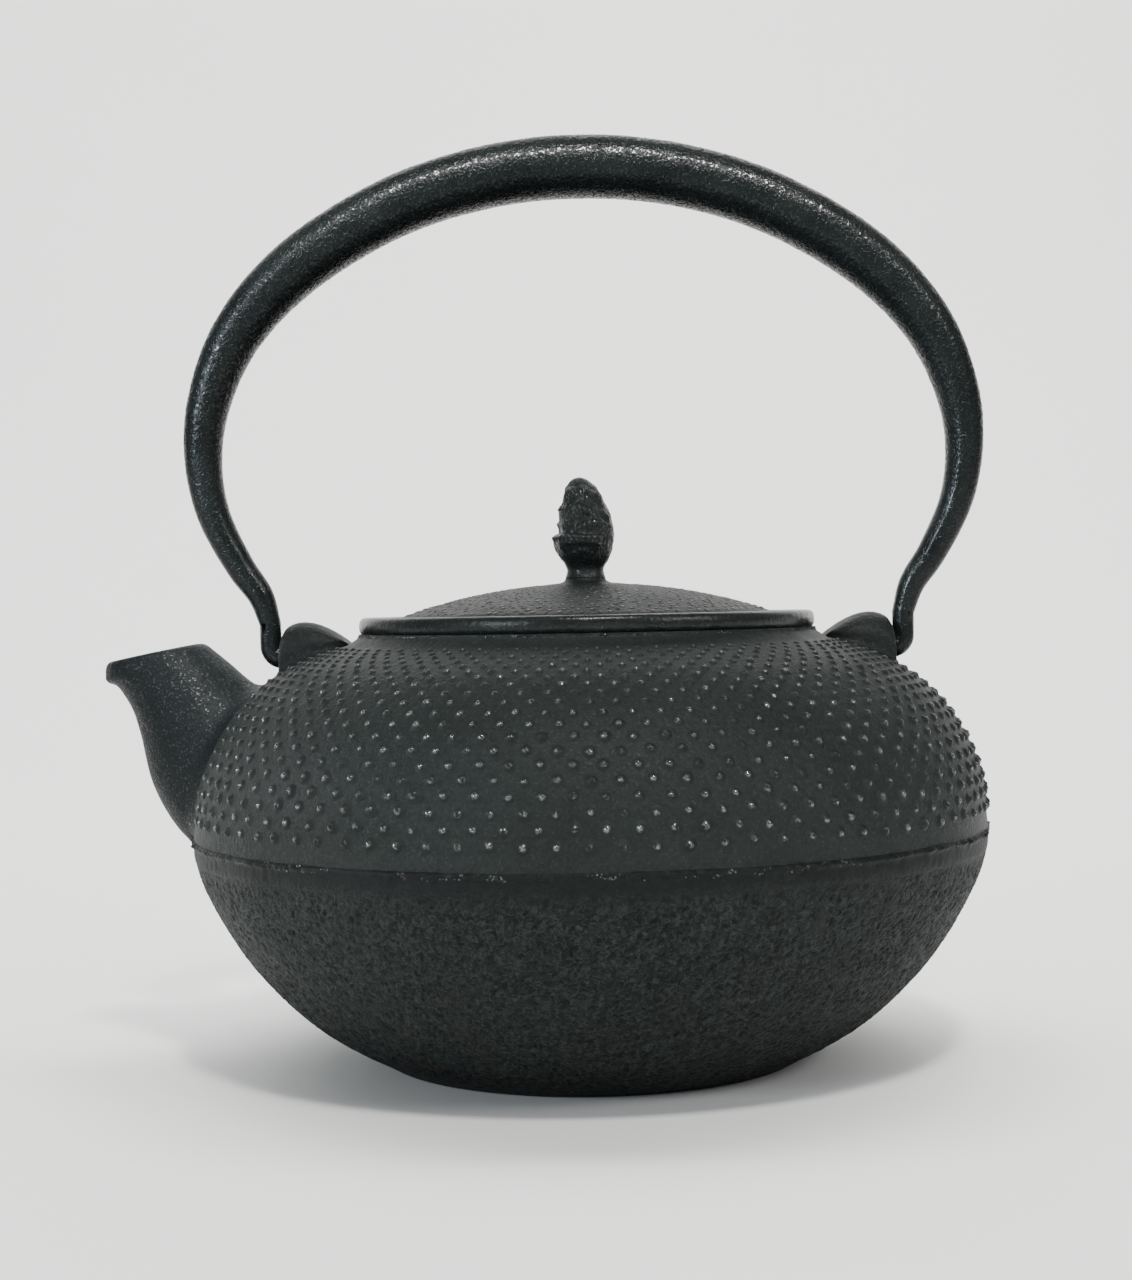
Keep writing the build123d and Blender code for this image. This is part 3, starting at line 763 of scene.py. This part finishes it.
def near_fixture(point):
    """Whether a nub would stand in the foot of an ear or of the spout."""
    x, y, z = point
    if abs(y) < EAR_HALF_W + 1.2 and EAR_INNER_X - 1.5 < abs(x) < EAR_FACE_X + 1.6 and z > 80:
        return True
    if x > -40:
        return False
    for ring, middle in SPOUT_FEET:
        offset = np.array(point) - middle
        along = ring[0] - middle
        reach = np.linalg.norm(along)
        across = np.abs(ring[:, 1]).max()
        share = (offset @ along / reach / (reach + 5.2)) ** 2 + (offset[1] / (across + 5.2)) ** 2
        if share < 1:
            return True
    return False


def under_folded_bow(point):
    """Whether the bow comes down on a nub at this point when it is folded right over."""
    x, y, z = point
    return 65.5 < abs(x) < 70.5 and EAR_HALF_W + 0.5 < abs(y) < 14.0 and z > 79


def pot_nubs():
    """Hobnails: staggered rows with the same number in each, so they crowd and shrink towards the lid."""
    spots = []
    line = resample(UPPER, 1200)
    length = length_along(line)
    s, row = 4.6, 0
    while True:
        r, z = (float(np.interp(s, length, line[:, axis])) for axis in (0, 1))
        if r < NECK_R + 4.2:
            break
        spacing = 2 * pi * r / NUBS_PER_ROW
        for k in range(NUBS_PER_ROW):
            a = 2 * pi * (k + 0.5 * (row % 2) + 0.07 * jitter(k, row, 1)) / NUBS_PER_ROW
            lift = 0.05 * spacing * jitter(row, k, 5)
            spot, normal = surface_point(outward(a) * r + upward(z + lift))
            if near_fixture(spot):
                continue
            size = NUB_SIZE * (spacing / FULL_SPACING) ** 1.3 * (1 + 0.16 * jitter(k, row, 9))
            if under_folded_bow(spot):
                size *= FLATTENED_NUB
            spots.append((spot, normal, size))
        s += spacing * 0.5
        row += 1
    return nub_mesh("pot_nubs", spots)


def bare_specks():
    """Specks of torn, rubbed metal: a broken line of them along the seam, and a few on the neck's edge."""
    spots = []
    for k in range(SPECK_STEPS):
        a = 2 * pi * (k + 0.4 * jitter(k, 3, 2)) / SPECK_STEPS
        around = outward(a)
        cluster = ripple(around, 5, (0, 0, 1)) + 0.7 * ripple(around, 17, (0, 0, 4))
        size = 0.16 + 0.16 * abs(jitter(k, 7, 4))
        if cluster + 0.35 * jitter(k, 1, 8) > -0.04:
            z = TORN_EDGE_Z + 0.35 * jitter(a * 9, 2, 6) + 0.45 * jitter(k, 5, 3)
            spots.append((around * TORN_EDGE_R + upward(z), around, size))
        if k % 3 == 0 and cluster + 0.5 * jitter(k, 6, 2) > 0.22:
            z = NECK_EDGE_Z + 0.2 * jitter(k, 4, 4)
            spots.append((around * NECK_EDGE_R + upward(z), around, size * 1.1))
    return nub_mesh("pot_bare_specks", spots, 0.9, 5)


spout = pot_spout()
pot_pieces = [
    (pot_casting(), ("pot_lower", "pot_shoulder", "pot_neck")),
    (seam_band(), ()),
    (pot_nubs(), ()),
    (bare_specks(), ()),
    (spout, ("pot_spout",)),
    (ear("pot_ear_far", 1), ("far_ear",)),
    (ear("pot_ear_spout_side", -1), ("spout_side_ear",)),
]
for piece, nodes in pot_pieces:
    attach(piece, "pot")
    if nodes:
        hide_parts(*nodes)


# ---------------------------------------------------------------- lid
SPHERE_R = (DOME_R**2 + DOME_RISE**2) / (2 * DOME_RISE)
SPHERE_Z = RIM_TOP_Z + DOME_RISE - SPHERE_R


def dome_z(radius, depth=0.0):
    """Height of the lid's dome at a radius, or of the surface a depth under it."""
    return SPHERE_Z + sqrt((SPHERE_R - depth) ** 2 - radius**2)


def lid_casting():
    """Lid: flat rim with a rolled edge, low dome, smooth boss, skirt and the pad under the knob."""
    boss = [(4.2, BOSS_TOP_Z), (4.32, 102.45), (4.5, 102.1), (4.85, 101.78), (5.6, 101.52), (7.2, 101.38)]
    dome = [(r, dome_z(r)) for r in np.linspace(BOSS_R + 1.7, DOME_R - 0.3, 32)]
    rim = [
        (DOME_R, dome_z(DOME_R) - 0.15), (40.4, 94.62), (44.0, 94.60), (46.6, 94.64), (47.2, 94.78),
        (47.75, 94.84), (48.2, 94.7), (48.6, 94.4), (48.88, 93.9), (LID_R, 93.2), (LID_R, 92.6),
        (48.94, 92.1), (48.8, 91.7), (48.6, 91.42), (48.4, NECK_TOP_Z), (46.0, NECK_TOP_Z),
        (42.0, NECK_TOP_Z), (38.0, NECK_TOP_Z), (SKIRT_R + 0.25, NECK_TOP_Z),
    ]
    inner_r = SKIRT_R - SKIRT_T
    skirt = [
        (SKIRT_R, 91.05), (SKIRT_R, 88.5), (SKIRT_R, SKIRT_END_Z + 0.4), (SKIRT_R - 0.4, SKIRT_END_Z),
        (inner_r + 0.4, SKIRT_END_Z), (inner_r, SKIRT_END_Z + 0.4), (inner_r, 90.0),
        (inner_r - 0.2, dome_z(34.0, LID_T) - 0.5),
    ]
    under = [(r, dome_z(r, LID_T)) for r in np.linspace(33.2, PAD_R + 0.4, 22)]
    pad = [(PAD_R, dome_z(PAD_R, LID_T) - 0.15), (PAD_R, PAD_Z + 0.2), (PAD_R - 0.2, PAD_Z), (2.2, PAD_Z)]
    hole = [(2.2, PAD_Z + 0.3), (2.2, BOSS_TOP_Z - 0.3), (2.2, BOSS_TOP_Z), (2.4, BOSS_TOP_Z)]
    loops = lathe_loops(boss + dome + rim + skirt + under + pad + hole, 256)
    casting = shell("lid_casting", loops + loops[:1], LID_IRON, flip=True, sharp=60)
    casting.data.materials.append(RIM_IRON)
    for face in casting.data.polygons:
        face.material_index = int(hypot(face.center.x, face.center.y) > SMOOTH_RIM_R * MM)
    return casting


def lid_nubs():
    """Small hobnails on the dome, in staggered rings that shrink towards the boss."""
    spots = []
    r, row = 38.2, 0
    while r > 11.0:
        spacing = 2 * pi * r / NUBS_PER_ROW
        for k in range(NUBS_PER_ROW):
            a = 2 * pi * (k + 0.5 * (row % 2) + 0.35 * jitter(k, row, 3)) / NUBS_PER_ROW
            out = r + 0.5 * jitter(row, k, 13)
            point = outward(a) * out + upward(dome_z(out))
            normal = (point - upward(SPHERE_Z)) / SPHERE_R
            if hypot(point[0], point[1] - VENT_Y) < 2.6:
                continue
            size = 0.46 * (spacing / 2.8) ** 0.8 * (1 + 0.45 * jitter(k, row, 11))
            spots.append((point, normal, size))
        r -= max(spacing * 0.62, 1.0)
        row += 1
    return nub_mesh("lid_nubs", spots, 0.45, 6)


def vent_collar():
    """Rim and dark bore of the steam hole on the far side of the dome."""
    loops = lathe_loops([(1.1, -2.9), (1.5, -2.8), (1.5, 0.0), (1.7, 0.16), (2.1, 0.12), (2.4, -0.15)], 32)
    for loop in loops:
        loop[:, 1] += VENT_Y
        loop[:, 2] += [dome_z(hypot(x, y)) for x, y, _ in loop]
    return shell("lid_vent_rim", loops, LID_IRON, flip=True)


# ---------------------------------------------------------------- pinecone knob
# radius, height and how far the middle is off the axis, along X
KNOB_CURVE = [
    (4.35, 102.7, 0.0), (4.15, 103.2, 0.0), (3.95, 104.2, 0.0), (4.2, 105.1, 0.0), (5.1, 106.7, 0.1),
    (5.75, 109.0, 0.25), (5.95, 110.8, 0.35), (5.9, 113.0, 0.45), (5.6, 115.5, 0.25), (5.1, 117.5, 0.0),
    (4.3, 119.9, -0.3), (3.5, 121.9, -0.6), (2.4, 123.2, -0.85), (1.3, 124.0, -0.95), (0.3, 124.35, -1.0),
]
# scales of the bud: bearing from +X in degrees, height of the lip, half width in degrees, length, how far
# the lip stands out, and how far the lip's ends hang below its middle
KNOB_SCALES = [
    (-140, 111.3, 86, 6.2, 1.45, 0.5), (-97, 108.3, 30, 2.6, 0.45, 0.6), (-72, 114.5, 40, 3.2, 0.60, 1.6),
    (-98, 117.7, 27, 3.0, 0.75, 1.0), (-60, 120.6, 28, 3.0, 0.80, 0.9), (-165, 117.6, 36, 3.8, 0.42, 1.2),
    (-125, 121.4, 30, 2.6, 0.40, 0.8), (76, 110.9, 58, 5.4, 0.60, 0.9), (146, 114.8, 40, 3.4, 0.50, 1.2),
    (98, 115.6, 34, 3.2, 0.50, 1.0), (46, 117.2, 34, 3.2, 0.40, 1.0), (128, 119.0, 32, 3.0, 0.45, 0.9),
    (76, 120.6, 32, 2.8, 0.40, 0.8),
]
KNOB_BEADS = 38            # beads all the way round, if a lip went all the way


def scale_push(bearing, height, scale):
    """How far one scale stands out at a bearing and height, and how near the point is to its lip."""
    middle, lip_z, half_width, length, stand, hang = scale
    across = ((bearing - middle + 180) % 360 - 180) / half_width
    if abs(across) >= 1:
        return 0.0, 0.0
    lip = lip_z - hang * across**2
    up = (height - lip + length) / length
    window = sqrt(1 - across**2)
    near = window * bump_at(height - lip, -0.15, 0.38)
    if up <= 0:
        return 0.0, near
    if up <= 1:
        return stand * window * min(1.0, up / 0.8) ** 1.4, near
    over = (height - lip) / 0.95
    return stand * window * max(0.0, 1 - over**2), near


def knob():
    """Bud-shaped knob wrapped in overlapping scales with beaded lips, the lowest open on the spout side."""
    columns, rows = 240, 280
    curve = curve_through(KNOB_CURVE, rows)
    loops = lathe_loops([(r, z) for r, z, _ in curve], columns)
    for loop, (radius, height, aside) in zip(loops, curve):
        grown = share_of((height - 105.0) / 1.5) * min(1.0, (124.4 - height) / 1.2)
        for i in range(columns):
            a = 2 * pi * i / columns
            p = outward(a) * radius + upward(height)
            slow = ripple(p, 0.4)
            bearing, level = 360 * i / columns + 9 * slow, height + 0.45 * slow
            pushes = [scale_push(bearing, level, scale) for scale in KNOB_SCALES]
            push, near = max(q for q, _ in pushes), max(q for _, q in pushes)
            vein = cos(KNOB_BEADS * a + 5 * slow)
            bead = 0.32 * near * max(0.0, vein) ** 0.7
            lumps = 0.28 * ripple(p, 0.6, (4, 1, 2)) + 0.06 * ripple(p, 2.0)
            out = grown * (push - 0.05 + 0.03 * vein + bead + lumps)
            loop[i] += outward(a) * out * min(1.0, radius)
            loop[i][0] += aside
    return shell("bud_knob", loops, KNOB_IRON, caps=True)


lid_pieces = [(lid_casting(), "lid"), (lid_nubs(), None), (vent_collar(), None), (knob(), "lid_knob")]
for piece, node in lid_pieces:
    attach(piece, "lid_set")
    if node:
        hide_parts(node)


# ---------------------------------------------------------------- handle
def handle_stations():
    """Stations from the spout side's hook over the top to the far hook, and the direction at each."""
    mirror = np.array([-1, 1, 1, 1])
    right = [np.array(row) for row in HANDLE_STATIONS]
    bow_line = curve_through([row * mirror for row in right[:0:-1]] + right, 1301)
    hook = [[HOOK_X, 91.5, HOOK_THICK, HOOK_THICK], [HOOK_X, 90.2, HOOK_THICK, HOOK_THICK]]
    for t in np.linspace(0, pi / 2, 24):
        x, z = HOOK_X - HOOK_BEND_R * (1 - cos(t)), PIVOT_Z + HOOK_BEND_R * (1 - sin(t))
        hook.append([x, z, HOOK_THICK, HOOK_THICK])
    for before_tip, thick in ((2.8, HOOK_THICK), (0.7, HOOK_THICK), (0.2, 4.0), (0, 2.8)):
        hook.append([HOOK_TIP_X + before_tip, PIVOT_Z, thick, thick])
    hook = np.array(hook)
    stations = np.vstack([(hook * mirror)[::-1], bow_line, hook])
    ahead = np.gradient(stations[:, :2], axis=0)
    return stations, ahead / np.linalg.norm(ahead, axis=1)[:, None]


def handle():
    """Bow handle: one tapering oval bar, lacquered, with hooks that turn into the ears."""
    count = 112
    loops = []
    for (x, z, thick, wide), (dx, dz) in zip(*handle_stations()):
        away = np.array([-dz, 0, dx])
        pebbly = min(1.0, max(0.25, (z - 98.0) / 45.0))
        loop = []
        for k in range(count):
            a = 2 * pi * k / count
            c, s = cos(a), sin(a)
            across = np.sign(s) * abs(s) ** BAR_ROUNDNESS * wide / 2
            up = np.sign(c) * abs(c) ** BAR_ROUNDNESS * thick / 2
            point = np.array([x, across, z]) + away * up
            ridge = 0.10 * bump_at(c, -0.36, 0.13) * min(1.0, thick / 10)
            grain = ripple(point, 1.35) + 0.5 * ripple(point, 2.3, (7, 3, 1))
            swell = 0.05 * ripple(point, 0.22) + ridge + BOW_GRAIN * pebbly * grain
            loop.append(point + (away * c + np.array([0, s, 0])) * swell)
        loops.append(np.array(loop))
    return shell("bow_handle", loops, LACQUER, caps=True)


bow = handle()
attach(bow, "handle_bow")
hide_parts("handle")


# ---------------------------------------------------------------- infuser basket
RIM_LOW, RIM_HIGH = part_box("infuser_rim")
HEM_LOW, HEM_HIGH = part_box("infuser_base_ring")
WALL_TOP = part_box("infuser_wall")[1]
SHEET = 0.6
MESH_R = WALL_TOP.x / MM - SHEET / 2
WIRE_R, PITCH = 0.17, 1.55
WAVE = WIRE_R * 0.95       # how far a wire swings to pass the ones that cross it
UPRIGHTS = 2 * int(round(pi * MESH_R / PITCH))
WEAVE_LOW, WEAVE_HIGH = HEM_LOW.z / MM + 0.8, WALL_TOP.z / MM - 0.2
HOOPS = int((WEAVE_HIGH - WEAVE_LOW) / PITCH)
LAP_HALF_W = 3.0


def turned_sheet(name, profile):
    """Closed turned ring from a closed outline of (radius, height) points."""
    loops = lathe_loops(profile, 192)
    return shell(name, loops + loops[:1], STEEL, sharp=45)


def basket_rim():
    """Pressed flange with a rolled edge and the collar that the mesh is spot-welded to."""
    low, top = RIM_LOW.z / MM, RIM_HIGH.z / MM
    outer, collar = RIM_HIGH.x / MM, HEM_HIGH.x / MM
    return turned_sheet("basket_rim", [
        (collar - 0.2, low), (collar, low + 0.1), (collar + 0.12, low + 0.4), (collar + 0.12, low + 0.9),
        (collar, low + 1.2), (collar, top - 1.5), (collar + 0.2, top - 1.0), (collar + 0.8, top - 0.75),
        (outer - 0.6, top - 0.8), (outer - 0.15, top - 0.7), (outer, top - 0.42), (outer - 0.05, top - 0.2),
        (outer - 0.35, top), (outer - 0.8, top), (outer - 1.2, top - 0.12), (collar + 0.4, top - 0.12),
        (collar - 0.2, top - 0.35), (collar - SHEET, top - 1.0), (collar - SHEET, low),
    ])


def basket_hem():
    """Ring crimped round the foot of the mesh."""
    low, top, outer = HEM_LOW.z / MM, HEM_HIGH.z / MM, HEM_HIGH.x / MM
    return turned_sheet("basket_base_ring", [
        (outer - 4.5, low), (outer - 4.5, low + SHEET), (outer - 1.3, low + SHEET), (outer - 0.8, low + 1.0),
        (outer - SHEET, low + 1.6), (outer - SHEET, top - 0.1), (outer - 0.4, top), (outer - 0.1, top - 0.1),
        (outer, top - 0.5), (outer, low + 0.7), (outer - 0.2, low + 0.2), (outer - 0.7, low),
    ])


def wire_section(point, first, second):
    """Three points round a wire, in the plane of two directions."""
    turns = [2 * pi * k / 3 for k in range(3)]
    return np.array([point + WIRE_R * (first * cos(t) + second * sin(t)) for t in turns])


def wire(points):
    """Loops round a wire along its points."""
    points = np.array(points)
    ahead = np.gradient(points, axis=0)
    ahead /= np.linalg.norm(ahead, axis=1)[:, None]
    reach = np.abs(points[-1] - points[0])
    start = upward(1.0) if reach[2] < 0.8 * reach.max() else outward(0)
    loops = []
    for p, d in zip(points, ahead):
        first = np.cross(d, start)
        first /= np.linalg.norm(first)
        loops.append(wire_section(p, first, np.cross(d, first)))
    return loops


def gather(name, wires, caps=True):
    """One object from many wires, each a list of loops."""
    verts, faces = [], []
    start = 0
    for loops in wires:
        points, sides = ring_grid(loops, caps=caps, offset=start)
        verts.append(points)
        faces.extend(sides)
        start += len(points)
    return make_object(name, np.vstack(verts), faces, WIRE)


def basket_uprights():
    """Vertical wires of the woven wall, passing in front of and behind each hoop in turn."""
    wires = []
    for k in range(UPRIGHTS):
        a = 2 * pi * k / UPRIGHTS
        phase = pi if k % 2 else 0
        points = []
        for i in range(2 * HOOPS + 1):
            r = MESH_R + WAVE * cos(pi * i / 2 + phase + pi / 2)
            points.append(outward(a) * r + upward(WEAVE_LOW + (WEAVE_HIGH - WEAVE_LOW) * i / (2 * HOOPS)))
        wires.append(wire(points))
    return gather("basket_wall_uprights", wires)


def basket_hoops():
    """Hoops of the woven wall."""
    rings = []
    for i in range(HOOPS):
        z = WEAVE_LOW + (WEAVE_HIGH - WEAVE_LOW) * (i + 0.5) / HOOPS
        sign = 1 if i % 2 else -1
        loops = []
        for k in range(UPRIGHTS):
            a = 2 * pi * k / UPRIGHTS
            r = MESH_R + sign * WAVE * cos(pi * k)
            loops.append(wire_section(outward(a) * r + upward(z), outward(a), upward(1.0)))
        rings.append(loops + loops[:1])
    return gather("basket_wall_hoops", rings, caps=False)


def basket_floor():
    """Woven disc held in the base ring."""
    radius, z = MESH_R - 0.2, HEM_LOW.z / MM + 0.95
    count = int(radius / PITCH)
    wires = []
    for swap in (False, True):
        for k in range(-count, count + 1):
            offset = k * PITCH
            half = sqrt(max(radius**2 - offset**2, 0.0))
            if half < 3:
                continue
            steps = int(half / PITCH)
            points = [[-half, offset, z]]
            for i in range(-steps, steps + 1):
                up = WAVE * (1 if (i + k) % 2 else -1) * (1 if swap else -1)
                points.append([i * PITCH, offset, z + up])
            points.append([half, offset, z])
            wires.append(wire([[y, x, h] for x, y, h in points] if swap else points))
    return gather("basket_floor_mesh", wires)


def basket_lap():
    """Welded strip that closes the mesh cylinder, with its spot welds."""
    half = LAP_HALF_W / MESH_R
    outside, inside = MESH_R + 0.62, MESH_R + 0.25
    loops = []
    for z in np.linspace(HEM_HIGH.z / MM - 0.2, RIM_LOW.z / MM + 0.3, 40):
        loop = []
        for a in np.linspace(-half, half, 11):
            weld = 0.16 if abs(a) < half * 0.3 and (z * 0.25) % 1 < 0.28 else 0.0
            loop.append([(outside - weld) * sin(a), (outside - weld) * cos(a), z])
        loop.extend([inside * sin(a), inside * cos(a), z] for a in np.linspace(half, -half, 11))
        loops.append(np.array(loop))
    return shell("basket_lap_seam", loops, STEEL, flip=True, caps=True, sharp=45)


basket_pieces = [
    (basket_rim(), "infuser_rim", "stainless_sheet"),
    (basket_hem(), "infuser_base_ring", "stainless_sheet"),
    (basket_uprights(), "infuser_wall", "stainless_mesh"),
    (basket_hoops(), "infuser_wall", "stainless_mesh"),
    (basket_floor(), "infuser_base_mesh", "stainless_mesh"),
    (basket_lap(), "infuser_lap_seam", "stainless_sheet"),
]
for piece, node, slot in basket_pieces:
    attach(piece, "basket")
    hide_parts(node)


# ---------------------------------------------------------------- carried-over CAD nodes
for node, material in (("enamel_lining", ENAMEL), ("knob_washer", STEEL), ("knob_screw", STEEL)):
    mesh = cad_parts[node].data
    mesh.materials.clear()
    mesh.materials.append(material)


# ---------------------------------------------------------------- stage and lights (metres)
def pale_cloth():
    """Matt, faintly clouded off-white."""
    n = Nodes("pale_floor")
    return n.surface(
        Base_Color=n.blend(n.noise(6, 3, 0.5), (0.80, 0.80, 0.78), (0.85, 0.845, 0.83)), Roughness=0.9
    )


def stage():
    """Plain pale floor that curves up behind into a backdrop."""
    floor_z, front, back, top, half_width, curve_r = -0.00005, -1.2, 0.75, 1.9, 2.2, 0.45
    profile = [(front, floor_z), (0.2, floor_z)]
    for t in np.linspace(0, pi / 2, 20):
        profile.append((back - curve_r + curve_r * sin(t), floor_z + curve_r * (1 - cos(t))))
    profile.append((back, top))
    across = np.linspace(-half_width, half_width, 12)
    verts, faces = ring_grid([np.array([[x, y, z] for x in across]) / MM for y, z in profile], closed=False)
    backdrop = make_object("floor", verts, faces, pale_cloth())
    return backdrop


def area_light(name, spot, size, power, color=(1, 1, 1), target=(0, 0, 0.09)):
    """Soft rectangular light that faces a target, which is the pot's middle if no other is given."""
    data = bpy.data.lights.new(name, "AREA")
    data.shape = "RECTANGLE"
    data.size, data.size_y = size
    data.energy = power
    data.color = color
    light = bpy.data.objects.new(name, data)
    bpy.context.scene.collection.objects.link(light)
    light.location = spot
    light.rotation_euler = (Vector(target) - Vector(spot)).to_track_quat("-Z", "Y").to_euler()
    return light


def light_only(name, lights, receivers):
    """Make lights act on some objects only."""
    group = bpy.data.collections.new(name)
    for receiver in receivers:
        group.objects.link(receiver)
    for light in lights:
        light.light_linking.receiver_collection = group


floor = stage()
WINDOW, SKY = (-0.80, -0.85, 0.42), (0.12, -0.66, 1.12)
SUNNY = (1.0, 0.985, 0.96)
area_light("window_left", WINDOW, (0.14, 0.36), 6.0, (0.86, 0.94, 1.0))
area_light("skylight", SKY, (0.13, 0.13), 12.0, SUNNY)
area_light("front_right", (0.75, -0.60, 0.60), (0.30, 0.30), 3.5)
floor_wash = area_light("floor_wash", (0.0, 0.35, 1.45), (1.4, 0.8), 17.0, target=(0.0, 0.25, 0.0))
backdrop_wash = area_light("backdrop_wash", (0.0, 0.12, 0.95), (1.6, 0.3), 12.5, target=(0.0, 1.6, -0.35))
light_only("backdrop_only", [floor_wash, backdrop_wash], [floor])
rake = area_light("rake_left", (-1.05, 0.05, 0.40), (0.2, 0.3), 6.0)
light_only("pot_only", [rake], [piece for piece, _ in pot_pieces if piece is not spout])
bow_sky = area_light("bow_sky", (0.05, -0.72, 1.02), (1.15, 0.06), 80.0, SUNNY)
bow_window = area_light("bow_window", WINDOW, (0.10, 0.30), 42.0, (0.76, 0.88, 1.0))
light_only("bow_only", [bow_sky, bow_window], [bow])
glint = area_light("spout_glint", SKY, (0.05, 0.05), 22.0)
light_only("spout_only", [glint], [spout])
fill = area_light("front_fill", (0.15, -1.25, 0.12), (0.6, 0.4), 1.0)
light_only("iron_only", [fill], [piece for piece, _ in pot_pieces + lid_pieces])
world = bpy.data.worlds.new("studio")
world.use_nodes = True
background = world.node_tree.nodes["Background"].inputs
background["Color"].default_value = (0.93, 0.95, 1.0, 1.0)
background["Strength"].default_value = 0.21
bpy.context.scene.world = world
